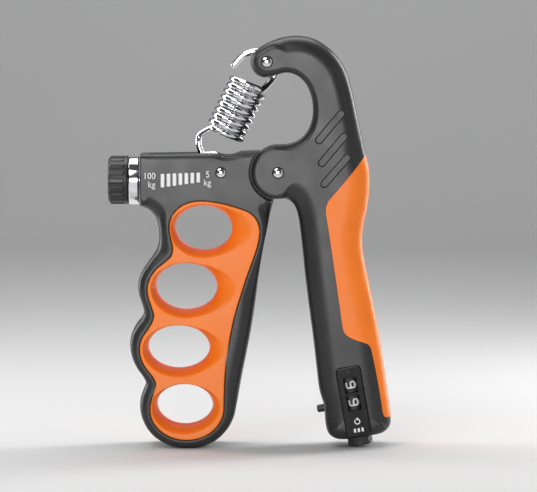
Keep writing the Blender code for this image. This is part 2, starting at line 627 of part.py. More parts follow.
def build_counter():
    plate = prism(bezel_outline(), -(HALF + 0.1), -(HALF - 1.4))
    bezel = add("counter_bezel", plate, "black_gloss", "counter_axis")
    for i in range(2):
        low = DRUM_STEP * i + 0.2
        window = prism(box_outline(-2.8, low, 2.8, low + DRUM_WIDTH - 0.4), -20, 0)
        boolean(bezel, cutter(f"digit_window_{i}", window, "counter_axis"))
    add("units_drum", drum(0.0), "drum_plastic", "counter_axis")
    add("tens_drum", drum(DRUM_STEP), "drum_plastic", "counter_axis")
    wheel = move(toothed(3.9, 4.9, 10, -2.9, -0.3, 1.35, 0.2), 0, DRUM_Y, 0)
    add("ratchet_wheel", wheel, "drum_plastic", "counter_axis")
    axle = move(turned([(1.2, -11.5), (1.2, 15.6)], 12), 0, DRUM_Y, 0)
    add("drum_axle", axle, "plain_steel", "counter_axis")
    build_chassis()
    pinion = move(toothed(1.3, 1.95, 8, 5.0, 8.1, 0.75), *CARRY_AT)
    add("carry_pinion", pinion, "bearing_brass", "counter_axis")
    add("carry_shaft", move(turned([(0.6, -5.3), (0.6, 15.8)], 8), *CARRY_AT), "plain_steel", "counter_axis")
    build_plunger()
    knob = [(RESET_R - 0.4, RESET_TO), (RESET_R, RESET_TO + 0.4), (RESET_R, RESET_FROM), (1.9, RESET_FROM),
            (1.9, -6.4)]
    reset = add("reset_knob", move(turned(knob, 24), 0, DRUM_Y, 0), "graphite_plastic", "counter_axis")
    bore = move(turned([(1.35, -12), (1.35, -5)], 12), 0, DRUM_Y, 0)
    boolean(reset, cutter("reset_bore", bore, "counter_axis"))


def build_chassis():
    """C-shaped plate that carries the drums, with a lug for the plunger's return spring."""
    plate = prism(box_outline(-8.3, -5.9, 6.9, 16.2), -8.7, 8.5)
    chassis = add("counter_frame", plate, "black_gloss", "counter_axis")
    bay = prism(box_outline(-9.5, -4.2, 9.5, 14.4), -9.5, 7.5)
    boolean(chassis, cutter("drum_bay", bay, "counter_axis"))
    lug = prism(box_outline(0.5, PLUNGER_AT - 1.6, 1.4, PLUNGER_AT + 1.6), 3.7, 8.0)
    boolean(chassis, cutter("spring_lug", lug, "counter_axis"), "UNION")
    axle_holes = move(turned([(1.35, -7), (1.35, 18)], 12), 0, DRUM_Y, 0)
    boolean(chassis, cutter("axle_holes", axle_holes, "counter_axis"))
    carry_holes = move(turned([(0.8, -7), (0.8, 18)], 8), *CARRY_AT)
    boolean(chassis, cutter("carry_holes", carry_holes, "counter_axis"))


def build_plunger():
    """Count plunger with the pawl that steps the ratchet, and its return spring."""
    rod = turn_to_x(turned([(1.1, -14.6), (1.5, -14.2), (1.5, -7.6)]))
    plunger = add("count_plunger", move(rod, 0, PLUNGER_Y, PLUNGER_AT), "graphite_plastic", "counter_axis")
    flange = prism(box_outline(-8.1, -2.6, -7.3, PLUNGER_AT + 1.7), 3.6, 7.0)
    boolean(plunger, cutter("plunger_flange", flange, "counter_axis"), "UNION")
    arm = prism(box_outline(-7.8, -2.6, -3.6, -0.8), 3.6, 4.6)
    boolean(plunger, cutter("pawl_arm", arm, "counter_axis"), "UNION")
    blade = prism(box_outline(-4.4, -2.6, -3.6, -0.8), 2.0, 4.0)
    boolean(plunger, cutter("pawl_blade", blade, "counter_axis"), "UNION")
    turns, per_turn = 4, 8
    line = []
    for i in range(turns * per_turn + 1):
        a = math.tau * i / per_turn
        x = -7.0 + 7.2 * i / (turns * per_turn)
        line.append((x, PLUNGER_Y + 1.2 * math.cos(a), PLUNGER_AT + 1.2 * math.sin(a)))
    add("plunger_spring", wire(line, 0.22, 5), "plain_steel", "counter_axis")


def main():
    for obj in list(bpy.data.objects):
        bpy.data.objects.remove(obj, do_unlink=True)
    add_frame("main_pivot", (0, 0))
    add_frame("handle_pivot", (0, 0))
    add_frame("lead_screw_axis", SCREW_FROM)
    add_frame("lower_hook_axis", LOWER_PIN_AT)
    add_frame("counter_axis", COUNTER_AT, -COUNTER_TILT)
    build_grip()
    build_adjuster()
    build_carriage()
    build_spring()
    build_handle()
    build_counter()


main()
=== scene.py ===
"""Adjustable hand-grip dynamometer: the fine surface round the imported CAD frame, its looks, light and camera.

Shapes are drawn in millimetres round the main pivot, x right and z up as seen from the front, and are
carried into the frame's metres when an object is made. The front is at -Y.
"""

import math

import bmesh
import bpy
import numpy as np
from mathutils import Matrix, Vector, geometry

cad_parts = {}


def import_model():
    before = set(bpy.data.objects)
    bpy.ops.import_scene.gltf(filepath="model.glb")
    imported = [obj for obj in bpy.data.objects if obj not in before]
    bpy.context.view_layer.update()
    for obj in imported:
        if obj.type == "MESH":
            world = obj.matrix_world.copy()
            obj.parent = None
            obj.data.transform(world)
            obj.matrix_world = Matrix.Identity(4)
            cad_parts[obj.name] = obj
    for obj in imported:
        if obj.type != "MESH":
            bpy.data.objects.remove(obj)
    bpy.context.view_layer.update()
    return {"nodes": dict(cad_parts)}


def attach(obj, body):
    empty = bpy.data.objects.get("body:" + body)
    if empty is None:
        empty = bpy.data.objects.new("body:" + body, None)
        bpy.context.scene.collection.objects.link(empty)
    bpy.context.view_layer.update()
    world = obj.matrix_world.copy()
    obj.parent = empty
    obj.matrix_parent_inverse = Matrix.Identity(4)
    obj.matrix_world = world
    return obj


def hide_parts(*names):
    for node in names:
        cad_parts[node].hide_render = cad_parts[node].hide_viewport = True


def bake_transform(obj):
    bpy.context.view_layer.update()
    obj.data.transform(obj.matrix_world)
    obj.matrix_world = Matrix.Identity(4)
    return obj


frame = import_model()

MM = 0.001
PIVOT_X, PIVOT_Z = 11.0, 107.2
HALF = 12.0
SEAM = 0.04                         # half of the parting line between the shells
KNUCKLE_R = 10.3
TONGUE_R, TONGUE_HALF = 9.6, 4.0
EAR_INNER = 5.2
EAR_CUT_R = 11.0
HOOK_PIN_AT = (-4.3, 42.8)
RIVET_AT = (-22.1, 0.05)
SCREW_FROM = (-60.0, -3.3)
SCREW_LINE = (0, 0, SCREW_FROM[1])
THREAD_R, THREAD_PITCH = 2.2, 1.5
LOWER_PIN_AT = (-25.3, 5.5)
WIRE_R, COIL_R, COILS = 1.2, 6.95, 8.5
COIL_FOOT, COIL_HEAD = (-21.4, 13.4), (-10.7, 35.5)
SLOT_HALF = 2.15                    # the hook's slot through the handle's nose
TOP_SLOT_HALF, BAY_HALF = 4.9, 8.0
RELIEF_AT, RELIEF_R = (-19.6, 16.3), 9.9
RIVET_SEAT = 10.9
HOLE_ROUNDING = 0.35
HANDLE_DEPTH = 5.4                  # how far the handle's rounding reaches down from each face
INK = 0.02
COUNTER_TILT = 10.0
COUNTER_AT = (29.9, -92.3)
DRUM_R, DRUM_Y, DRUM_WIDTH, DRUM_STEP = 6.6, -3.3, 6.2, 6.9
DRUM_LINE = (0, DRUM_Y, 0)
BEZEL_FRONT = -(HALF + 0.1)
RESET_R, RESET_FROM, RESET_TO = 4.8, -9.6, -14.35
PLUNGER_AT, PLUNGER_Y = 1.2, 5.1

GRIP_SIDE = [
    (-2.3, -11.2), (-3.9, -20), (-5.9, -30), (-7.5, -40), (-8.8, -50), (-10.3, -60), (-12.2, -70),
    (-14.2, -80), (-16.0, -90), (-17.3, -95.5), (-20.0, -100.3), (-24.5, -104.5), (-30.0, -106.7),
    (-35.2, -107.2), (-40.5, -106.6), (-45.5, -104.6), (-49.7, -101.1), (-52.4, -96.6), (-53.6, -91.8),
    (-53.3, -87.3), (-52.0, -84.0), (-51.3, -81.8), (-52.4, -79.2), (-54.8, -75.8), (-56.7, -71.5),
    (-57.4, -66.8), (-56.8, -62.6), (-55.0, -59.3), (-52.9, -56.7), (-52.0, -54.0), (-52.6, -51.0),
    (-53.8, -47.5), (-54.2, -43.5), (-53.3, -39.5), (-51.1, -36.0), (-48.9, -32.9), (-47.0, -29.6),
    (-46.1, -25.8), (-46.2, -21.5), (-47.3, -17.7), (-49.9, -14.6), (-53.4, -12.9),
]
INSERT = [
    (-28.3, -10.9), (-22.5, -11.7), (-16.8, -13.2), (-11.7, -15.0), (-8.7, -17.5), (-7.2, -21.0),
    (-7.2, -25.0), (-8.2, -29.5), (-10.0, -34.7), (-12.1, -40.5), (-14.5, -48.0), (-16.6, -55.0),
    (-18.4, -63.0), (-19.8, -71.5), (-20.6, -80.0), (-20.9, -88.0), (-21.1, -93.3), (-22.6, -97.2),
    (-25.8, -100.9), (-30.3, -103.2), (-35.6, -104.0), (-41.0, -103.1), (-45.6, -100.5), (-48.6, -96.7),
    (-49.7, -92.5), (-49.2, -88.5), (-48.1, -85.0), (-47.5, -82.0), (-48.5, -79.5), (-51.1, -76.1),
    (-53.1, -72.3), (-53.7, -68.3), (-52.9, -64.4), (-50.7, -61.0), (-48.9, -58.0), (-48.2, -55.3),
    (-49.0, -52.2), (-50.2, -48.7), (-50.7, -45.0), (-49.8, -41.2), (-47.3, -37.4), (-43.9, -34.6),
    (-41.5, -32.3), (-40.8, -29.5), (-41.4, -26.0), (-42.1, -22.2), (-41.8, -18.6), (-40.0, -15.2),
    (-36.8, -12.5), (-32.7, -11.1),
]
HANDLE_SIDE = [
    (0.9, 10.26), (4.7, 10.7), (8.4, 12.3), (11.3, 15.3), (13.1, 19.5), (13.6, 24.5), (12.8, 29.5),
    (10.8, 34.0), (7.4, 37.3), (3.3, 38.5), (-0.9, 37.6), (-5.3, 36.7), (-8.4, 38.0), (-10.3, 40.7),
    (-10.6, 43.8), (-9.2, 46.6), (-6.1, 48.9), (-1.7, 51.1), (2.8, 52.4), (7.2, 52.8), (11.7, 52.3),
    (15.3, 51.0), (18.6, 48.9), (21.7, 46.2), (24.4, 42.8), (26.4, 39.0), (28.2, 33.5), (29.5, 28.0),
    (30.9, 21.5), (32.5, 14.0), (34.0, 6.8), (35.1, 2.0), (35.5, -3.0), (35.3, -8.0), (34.5, -14.0),
    (33.3, -19.5), (32.7, -25.0), (32.9, -30.5), (33.9, -36.0), (35.1, -42.0), (36.8, -50.0),
    (38.6, -59.0), (40.3, -69.0), (41.9, -79.5), (43.3, -89.5), (44.0, -95.3), (43.5, -98.8),
    (41.0, -101.2), (37.0, -102.4), (31.0, -103.4), (26.0, -104.0), (22.3, -103.6), (19.7, -101.7),
    (18.6, -98.6), (18.3, -95.0), (17.9, -90.8), (16.8, -87.4), (15.9, -83.8), (15.3, -79.0),
    (14.4, -71.0), (13.5, -63.5), (12.5, -56.0), (11.4, -47.5), (10.4, -39.0), (9.5, -30.0),
    (8.5, -21.5), (7.6, -16.3), (6.2, -12.7), (4.1, -10.8), (1.8, -10.14),
]
PAD_EDGE = [
    (34.6, 7.9), (30.0, 1.6), (25.0, -4.4), (20.6, -9.5), (19.0, -11.8), (18.4, -14.5), (18.9, -18.5),
    (20.0, -25.5), (21.7, -37.0), (23.3, -48.0), (24.8, -58.5), (25.5, -61.6), (27.1, -63.4),
    (30.5, -65.0), (34.3, -66.3), (35.8, -67.7), (36.6, -70.5), (38.7, -81.0), (40.2, -90.0),
    (40.7, -93.2), (41.8, -95.1), (44.5, -94.8),
]
FINGER_HOLES = [
    ((-28.9, -21.9), (11.1, 8.8), (1.8, 8.0, 1.2, 2.4)),
    ((-35.6, -44.7), (11.9, 9.4), (1.9, 7.6, 0.8, 2.4)),
    ((-38.6, -68.4), (12.0, 8.8), (2.0, 5.6, 0.8, 2.2)),
    ((-36.3, -90.9), (10.9, 8.4), (2.0, 2.9, 0.8, 2.6)),
]
GROOVES = [((15.8, 12.6), (24.3, 22.7)), ((16.9, 3.8), (25.4, 13.9)), ((17.9, -4.3), (26.6, 5.7))]
GROOVE_R, GROOVE_DEPTH = 1.45, 0.8
GRIP_SCREWS = [(-47.6, -11.0), (-12.6, -9.6), (-18.3, -87.0)]
HANDLE_SCREWS = [(20.5, 33.0), (14.2, -6.5), (20.6, -67.5)]
SCREW_SEAT = 9.0
CARRIAGE_BAY = (-51.6, -7.5, -19.9, 3.5)


# Outlines.

def smooth(points, steps, closed=False):
    """Catmull-Rom curve through the points, with that many steps to a span."""
    count = len(points)
    found = []
    for i in range(count if closed else count - 1):
        if closed:
            p = [points[(i + k) % count] for k in (-1, 0, 1, 2)]
        else:
            p = [points[min(max(i + k, 0), count - 1)] for k in (-1, 0, 1, 2)]
        for step in range(steps):
            t = step / steps
            weights = (
                -0.5 * t + t * t - 0.5 * t ** 3,
                1 - 2.5 * t * t + 1.5 * t ** 3,
                0.5 * t + 2 * t * t - 1.5 * t ** 3,
                -0.5 * t * t + 0.5 * t ** 3,
            )
            found.append(tuple(sum(w * q[k] for w, q in zip(weights, p)) for k in range(len(p[0]))))
    return found if closed else found + [tuple(points[-1])]


def arc(centre, radius, start, end, steps):
    angles = [math.radians(start + (end - start) * i / steps) for i in range(steps + 1)]
    return [(centre[0] + radius * math.cos(a), centre[1] + radius * math.sin(a)) for a in angles]


def circle(centre, radius, sides=64):
    return arc(centre, radius, 0, 360, sides)[:-1]


def stadium(start, end, radius, steps=16):
    heading = math.degrees(math.atan2(end[1] - start[1], end[0] - start[0]))
    head = arc(end, radius, heading - 90, heading + 90, steps)
    return head + arc(start, radius, heading + 90, heading + 270, steps)


def box_outline(x0, z0, x1, z1):
    return [(x0, z0), (x1, z0), (x1, z1), (x0, z1)]


def rounded_box(x0, z0, x1, z1, corner, steps=6):
    left, right, low, high = x0 + corner, x1 - corner, z0 + corner, z1 - corner
    centres = [(right, high), (left, high), (left, low), (right, low)]
    return [p for k, at in enumerate(centres) for p in arc(at, corner, 90 * k, 90 * k + 90, steps)]


def spread(points, step):
    """The closed outline walked at even steps, with its corners kept."""
    found = []
    for a, b in zip(points, points[1:] + points[:1]):
        length = math.dist(a, b)
        count = max(1, round(length / step))
        found += [(a[0] + (b[0] - a[0]) * i / count, a[1] + (b[1] - a[1]) * i / count) for i in range(count)]
    return found


def area(points):
    return sum(a[0] * b[1] - b[0] * a[1] for a, b in zip(points, points[1:] + points[:1])) / 2


def anticlockwise(points):
    return points if area(points) > 0 else points[::-1]


def normals(points):
    """Inward normals of an anticlockwise outline, softened over a few neighbours."""
    p = np.array(points)
    along = np.roll(p, -1, 0) - np.roll(p, 1, 0)
    n = np.stack([-along[:, 1], along[:, 0]], 1)
    n /= np.linalg.norm(n, axis=1)[:, None]
    for _ in range(2):
        n = np.roll(n, 1, 0) + 2 * n + np.roll(n, -1, 0)
        n /= np.linalg.norm(n, axis=1)[:, None]
    return n


def distance_to(points, others):
    """Distance from each point to the nearest of the others."""
    p, q = np.array(points), np.array(others)
    return np.sqrt(((p[:, None, :] - q[None, :, :]) ** 2).sum(2)).min(1)


def softened(values, rounds=12):
    v = np.array(values, float)
    for _ in range(rounds):
        v = (np.roll(v, 1) + 2 * v + np.roll(v, -1)) / 4
    return v


def offset(points, amounts):
    """Outline moved inwards by its own amount at each point, kept from crossing itself."""
    p, n = np.array(points), normals(points)
    amounts = np.broadcast_to(amounts, (len(p),)).astype(float)
    moved = p + n * amounts[:, None]
    for _ in range(30):
        side = np.roll(p, -1, 0) - p
        now = np.roll(moved, -1, 0) - moved
        flipped = (side * now).sum(1) < 0.05 * (side * side).sum(1)
        if not flipped.any():
            break
        bad = flipped | np.roll(flipped, 1)
        mid = (np.roll(moved, 1, 0) + np.roll(moved, -1, 0)) / 2
        moved[bad] = mid[bad]
    return [tuple(q) for q in moved]


def inside(point, loop):
    x, z = point
    found = False
    for (x0, z0), (x1, z1) in zip(loop, loop[1:] + loop[:1]):
        if (z0 > z) != (z1 > z) and x < (x1 - x0) * (z - z0) / (z1 - z0) + x0:
            found = not found
    return found


# Meshes, in millimetres round the pivot.

def fill(bm, outer, holes, down):
    """Triangles between rings of vertices that lie in one plane."""
    loops = [outer, *holes]
    flat, edges, owners = [], [], []
    for loop in loops:
        first = len(flat)
        flat += [Vector((v.co.x, v.co.z)) for v in loop]
        edges += [(first + i, first + (i + 1) % len(loop)) for i in range(len(loop))]
        owners += loop
    plain = [[(v.co.x, v.co.z) for v in loop] for loop in loops]
    made = geometry.delaunay_2d_cdt(flat, edges, [], 0, 1e-7)
    places, faces, origin = made[0], made[2], made[3]
    for face in faces:
        middle = sum((places[i] for i in face), Vector((0, 0))) / 3
        if not inside(middle, plain[0]) or any(inside(middle, hole) for hole in plain[1:]):
            continue
        corners = [owners[origin[i][0]] for i in face if origin[i]]
        if len(set(corners)) == 3:
            bm.faces.new(corners if down else corners[::-1])


def bridge(bm, low, high):
    for i in range(len(low)):
        j = (i + 1) % len(low)
        bm.faces.new((low[i], low[j], high[j], high[i]))


def ring(bm, points, ys):
    ys = np.broadcast_to(ys, (len(points),))
    return [bm.verts.new((x, float(y), z)) for (x, z), y in zip(points, ys)]


def fillet(bm, loop, radius, side, steps, deepest=99.0, inwards=1):
    """Rings from a wall up over its rounded edge onto the face of that side (-1 front, 1 rear).

    A fillet wider than deepest is flattened to that depth. A hole's edge goes outwards, with inwards -1.
    """
    radius = np.broadcast_to(radius, (len(loop),)).astype(float)
    rings = []
    for k in range(steps + 1):
        a = math.pi / 2 * k / steps
        shape = offset(loop, inwards * radius * (1 - math.cos(a))) if k else loop
        rings.append(ring(bm, shape, side * (HALF - np.minimum(radius, deepest) * (1 - math.sin(a)))))
    return rings


def plate(side, outer, radii, holes=(), steps=7, deepest=99.0):
    """Half a shell: a filleted face on that side, straight walls and a flat back."""
    bm = bmesh.new()
    tops, bottoms = [], []
    for index, loop in enumerate([outer, *holes]):
        loop = anticlockwise(list(loop))
        rings = [ring(bm, loop, side * SEAM)]
        bottoms.append(rings[0])
        if index == 0:
            rings += fillet(bm, loop, radii, side, steps, deepest)
        else:
            rings += fillet(bm, loop, HOLE_ROUNDING, side, 3, inwards=-1)
        for low, high in zip(rings, rings[1:]):
            bridge(bm, low, high)
        tops.append(rings[-1])
    fill(bm, tops[0], tops[1:], True)
    fill(bm, bottoms[0], bottoms[1:], False)
    bmesh.ops.recalc_face_normals(bm, faces=bm.faces)
    return bm


def loft(rings):
    """Closed solid through rings of points."""
    bm = bmesh.new()
    loops = [[bm.verts.new(p) for p in points] for points in rings]
    for low, high in zip(loops, loops[1:]):
        bridge(bm, low, high)
    bm.faces.new(loops[0])
    bm.faces.new(loops[-1])
    bmesh.ops.recalc_face_normals(bm, faces=bm.faces)
    return bm


def prism(outline, y0, y1):
    return loft([[(x, y, z) for x, z in outline] for y in (y0, y1)])


def turned(profile, sides=64, along="z", at=(0, 0, 0)):
    """Solid of revolution from (radius, height) pairs; a radius of nothing closes it to a point."""
    bm = bmesh.new()
    loops = []
    for radius, height in profile:
        if radius <= 0:
            loops.append([bm.verts.new((0, 0, height))])
        else:
            loops.append([bm.verts.new((x, y, height)) for x, y in circle((0, 0), radius, sides)])
    for low, high in zip(loops, loops[1:]):
        if len(low) == 1 or len(high) == 1:
            tip, rim = (low[0], high) if len(low) == 1 else (high[0], low)
            for i in range(sides):
                bm.faces.new((tip, rim[i], rim[(i + 1) % sides]))
        else:
            bridge(bm, low, high)
    for end in (loops[0], loops[-1]):
        if len(end) > 1:
            bm.faces.new(end)
    bmesh.ops.recalc_face_normals(bm, faces=bm.faces)
    return placed(bm, along, at)


def hollow(outer, inner, sides=64, along="z", at=(0, 0, 0)):
    """A turned ring: its outer profile one way and its inner one back."""
    profile = list(outer) + list(inner)[::-1]
    bm = bmesh.new()
    loops = [[bm.verts.new((x, y, h)) for x, y in circle((0, 0), r, sides)] for r, h in profile]
    for low, high in zip(loops, loops[1:] + loops[:1]):
        bridge(bm, low, high)
    bmesh.ops.recalc_face_normals(bm, faces=bm.faces)
    return placed(bm, along, at)


def surface(radius, heights, sides, along="z", at=(0, 0, 0)):
    """Closed solid about an axis whose radius is a function of angle and height."""
    rings = []
    for h in heights:
        row = []
        for i in range(sides):
            a = math.tau * i / sides
            r = radius(a, h)
            row.append((r * math.cos(a), r * math.sin(a), h))
        rings.append(row)
    return placed(loft(rings), along, at)


def placed(bm, along, at):
    """Turned from its z axis onto the axis named, then moved."""
    if along != "z":
        degrees, axis = (-90, "X") if along == "y" else (90, "Y")
        turn = Matrix.Rotation(math.radians(degrees), 3, axis)
        bmesh.ops.rotate(bm, cent=(0, 0, 0), matrix=turn, verts=bm.verts)
    bmesh.ops.translate(bm, vec=at, verts=bm.verts)
    return bm


def in_counter(bm):
    """From the counter's own axes into the drawing's."""
    turn = Matrix.Rotation(math.radians(-COUNTER_TILT), 4, "Y")
    bm.transform(Matrix.Translation((COUNTER_AT[0], 0, COUNTER_AT[1])) @ turn)
    return bm


def wire(points, radius, sides=20, round_start=False, round_end=False):
    """Round wire by parallel transport, with domed ends where asked."""
    places = [Vector(p) for p in points]
    tangents = [(b - a).normalized() for a, b in zip(places[:1] + places[:-1], places[1:] + places[-1:])]
    normal = Vector((0, 1, 0))
    stations = []
    for place, tangent in zip(places, tangents):
        normal = (normal - tangent * normal.dot(tangent)).normalized()
        stations.append((place, tangent, normal, radius))
    dome = [(math.sin(math.pi / 2 * k / 4), math.cos(math.pi / 2 * k / 4)) for k in (1, 2, 3)]
    if round_end:
        p, t, n, _ = stations[-1]
        stations += [(p + t * radius * s * 0.6, t, n, radius * c) for s, c in dome]
    if round_start:
        p, t, n, _ = stations[0]
        stations = [(p - t * radius * s * 0.6, t, n, radius * c) for s, c in dome[::-1]] + stations
    rings = []
    for place, tangent, normal, size in stations:
        across = tangent.cross(normal)
        row = []
        for i in range(sides):
            a = math.tau * i / sides
            row.append(tuple(place + (normal * math.cos(a) + across * math.sin(a)) * size))
        rings.append(row)
    return loft(rings)


# Materials.

def shader(name, colour, roughness, metallic=0.0, **sockets):
    """A Principled material, ready for its texture nodes."""
    made = bpy.data.materials.new(name)
    made.use_nodes = True
    nodes, links = made.node_tree.nodes, made.node_tree.links
    principled = nodes["Principled BSDF"]
    principled.inputs["Base Color"].default_value = (*colour, 1.0)
    principled.inputs["Roughness"].default_value = roughness
    principled.inputs["Metallic"].default_value = metallic
    for socket, value in sockets.items():
        principled.inputs[socket.replace("_", " ")].default_value = value
    return made, nodes, links, principled


def textured(name, colour, colour_drift, roughness, drift, grain_size, grain_depth, metallic=0.0, coarse=0.012,
             **sockets):
    """Moulded or metal surface: slow drifts of colour and roughness under a fine grain."""
    made, nodes, links, principled = shader(name, colour, roughness, metallic, **sockets)
    where = nodes.new("ShaderNodeTexCoord")

    def noise(size, detail):
        node = nodes.new("ShaderNodeTexNoise")
        node.inputs["Scale"].default_value = 1.0 / size
        node.inputs["Detail"].default_value = detail
        links.new(where.outputs["Object"], node.inputs["Vector"])
        return node.outputs["Fac"]

    def ranged(value, low, high):
        node = nodes.new("ShaderNodeMapRange")
        for socket, number in (("From Min", 0.3), ("From Max", 0.7), ("To Min", low), ("To Max", high)):
            node.inputs[socket].default_value = number
        links.new(value, node.inputs["Value"])
        return node.outputs["Result"]

    slow = noise(coarse, 3.0)
    links.new(ranged(slow, roughness - drift, roughness + drift), principled.inputs["Roughness"])
    mix = nodes.new("ShaderNodeMix")
    mix.data_type = "RGBA"
    mix.inputs["A"].default_value = (*[c * (1 - colour_drift) for c in colour], 1.0)
    mix.inputs["B"].default_value = (*[min(1.0, c * (1 + colour_drift)) for c in colour], 1.0)
    links.new(ranged(slow, 0.0, 1.0), mix.inputs["Factor"])
    links.new(mix.outputs["Result"], principled.inputs["Base Color"])
    if grain_depth:
        bump = nodes.new("ShaderNodeBump")
        bump.inputs["Strength"].default_value = 0.5
        bump.inputs["Distance"].default_value = grain_depth
        links.new(noise(grain_size, 2.0), bump.inputs["Height"])
        links.new(bump.outputs["Normal"], principled.inputs["Normal"])
    return made


LOOKS = {
    "graphite": textured("graphite", (0.021, 0.021, 0.022), 0.10, 0.36, 0.04, 0.00045, 0.00002),
    "knob": textured("knob", (0.019, 0.019, 0.020), 0.10, 0.36, 0.05, 0.0005, 0.00002),
    "orange": textured("orange", (0.95, 0.205, 0.008), 0.04, 0.44, 0.05, 0.0006, 0.00002),
    "chrome": textured("chrome", (0.83, 0.83, 0.85), 0.02, 0.11, 0.03, 0.0008, 0.0, 1.0, 0.004),
    "steel": textured("steel", (0.56, 0.56, 0.58), 0.06, 0.32, 0.07, 0.0003, 0.00001, 1.0, 0.002),
    "gloss": textured("gloss", (0.004, 0.004, 0.0045), 0.10, 0.20, 0.03, 0.002, 0.0, 0.0, 0.006,
                      Specular_IOR_Level=0.28),
    "drum": textured("drum", (0.012, 0.012, 0.013), 0.10, 0.48, 0.05, 0.0004, 0.00001),
    "brass": textured("brass", (0.72, 0.52, 0.24), 0.06, 0.32, 0.06, 0.0004, 0.00001, 1.0, 0.002),
    "print": textured("print", (0.86, 0.86, 0.86), 0.02, 0.55, 0.04, 0.0004, 0.00001),
}


# Making and cutting pieces.

def mesh_object(name, bm, look, sharp):
    bm.transform(Matrix.Scale(MM, 4) @ Matrix.Translation((PIVOT_X, 0, PIVOT_Z)))
    mesh = bpy.data.meshes.new(name)
    bm.to_mesh(mesh)
    bm.free()
    mesh.shade_smooth()
    mesh.set_sharp_from_angle(angle=math.radians(sharp))
    obj = bpy.data.objects.new(name, mesh)
    bpy.context.scene.collection.objects.link(obj)
    mesh.materials.append(LOOKS[look])
    return obj


def piece(name, bm, look, body, *nodes, slot=None, sharp=32.0):
    """A finished piece that rides on a body and stands for the CAD nodes named."""
    obj = mesh_object(name, bm, look, sharp)
    weighted = obj.modifiers.new("weighted_normals", "WEIGHTED_NORMAL")
    weighted.keep_sharp = True
    weighted.weight = 80
    if body:
        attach(obj, body)
    if nodes:
        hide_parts(*nodes)
    return obj


def cut(bm, others, operation="DIFFERENCE"):
    """The solid with the others taken from it, or joined to it, one after another."""
    mesh = bpy.data.meshes.new("cutting")
    bm.to_mesh(mesh)
    bm.free()
    base = bpy.data.objects.new("cutting", mesh)
    bpy.context.scene.collection.objects.link(base)
    spare = [base]
    for other in others:
        tool_mesh = bpy.data.meshes.new("tool")
        other.to_mesh(tool_mesh)
        other.free()
        tool = bpy.data.objects.new("tool", tool_mesh)
        bpy.context.scene.collection.objects.link(tool)
        modifier = base.modifiers.new("boolean", "BOOLEAN")
        modifier.object = tool
        modifier.operation = operation
        modifier.solver = "EXACT"
        spare.append(tool)
    view = bpy.context.evaluated_depsgraph_get()
    done = bpy.data.meshes.new_from_object(base.evaluated_get(view))
    result = bmesh.new()
    result.from_mesh(done)
    bpy.data.meshes.remove(done)
    for obj in spare:
        data = obj.data
        bpy.data.objects.remove(obj, do_unlink=True)
        bpy.data.meshes.remove(data)
    return result


def along_y(at, profile, sides=48):
    return turned(profile, sides, "y", (at[0], 0, at[1]))


def rivet_bore(at, head, shank):
    """Cutter for a rivet: a bore, with a seat for the head at each face."""
    seat = RIVET_SEAT
    return along_y(at, [(head, -14), (head, -seat), (shank, -seat), (shank, seat), (head, seat), (head, 14)])


# The grip.

def grip_outer():
    """The grip's silhouette, with the hollow for the handle's ear and the dip under the spring."""
    start = math.degrees(math.atan2(8.0, -math.sqrt(EAR_CUT_R ** 2 - 64)))
    ear = arc((0, 0), EAR_CUT_R, start, 258.2, 40)
    side = smooth(GRIP_SIDE, 8)
    left = [(-53.4, -12.9), (-53.4, 7.0)]
    dip = arc(RELIEF_AT, RELIEF_R, 246.5, 300, 22)
    return spread(left[1:] + [(-25.5, 7.4)] + dip + ear + side[1:], 0.7)


def grip_radii(outer, window):
    """Edge rounding of the grip: broad where there is room, small at the knob and the ear."""
    room = distance_to(outer, window) - 0.7
    wanted = []
    for x, z in outer:
        at_ear = math.hypot(x, z) < EAR_CUT_R + 0.2 and x > -11.5
        at_knob = x < -53.2 and z > -13.0
        if at_ear or at_knob:
            wanted.append(0.5)
        elif z > 4.5:
            wanted.append(2.2)
        else:
            wanted.append(5.2)
    return np.clip(np.minimum(softened(wanted, 16), room), 0.3, 6.0)


def finger_ring(hole, share, y, sides=96):
    (cx, cz), (half_w, half_h), (left, right, up, down) = hole
    row = []
    for i in range(sides):
        a = math.tau * i / sides
        c, s = math.cos(a), math.sin(a)
        wide = half_w + share * (right * max(c, 0) ** 0.5 if c > 0 else left)
        high = half_h + share * (up if s > 0 else down)
        row.append((cx + wide * c, y, cz + high * s))
    return row


def finger_insert(side):
    """Orange insert: filleted rim, and four holes whose walls flare from the throat to the face."""
    bm = bmesh.new()
    rim = anticlockwise(offset(anticlockwise(spread(smooth(INSERT, 8, closed=True), 0.8)), 0.12))
    rings = [ring(bm, rim, side * SEAM)] + fillet(bm, rim, 0.5, side, 3)
    for low, high in zip(rings, rings[1:]):
        bridge(bm, low, high)
    mouths, throats = [], []
    for hole in FINGER_HOLES:
        rows = []
        for k in range(15):
            t = k / 14
            share = (1 - t) ** 2.0
            depth = HALF - 7.6 * t ** 1.25
            rows.append([bm.verts.new(p) for p in finger_ring(hole, share, side * depth)])
        rows.append([bm.verts.new(p) for p in finger_ring(hole, 0.0, side * SEAM)])
        for low, high in zip(rows, rows[1:]):
            bridge(bm, low, high)
        mouths.append(rows[0])
        throats.append(rows[-1])
    fill(bm, rings[-1], mouths, True)
    fill(bm, rings[0], throats, False)
    bmesh.ops.recalc_face_normals(bm, faces=bm.faces)
    return bm


def screw_bore(at):
    return along_y(at, [(1.15, -7.5), (1.15, SCREW_SEAT), (1.95, SCREW_SEAT), (1.95, 14.0)], 40)


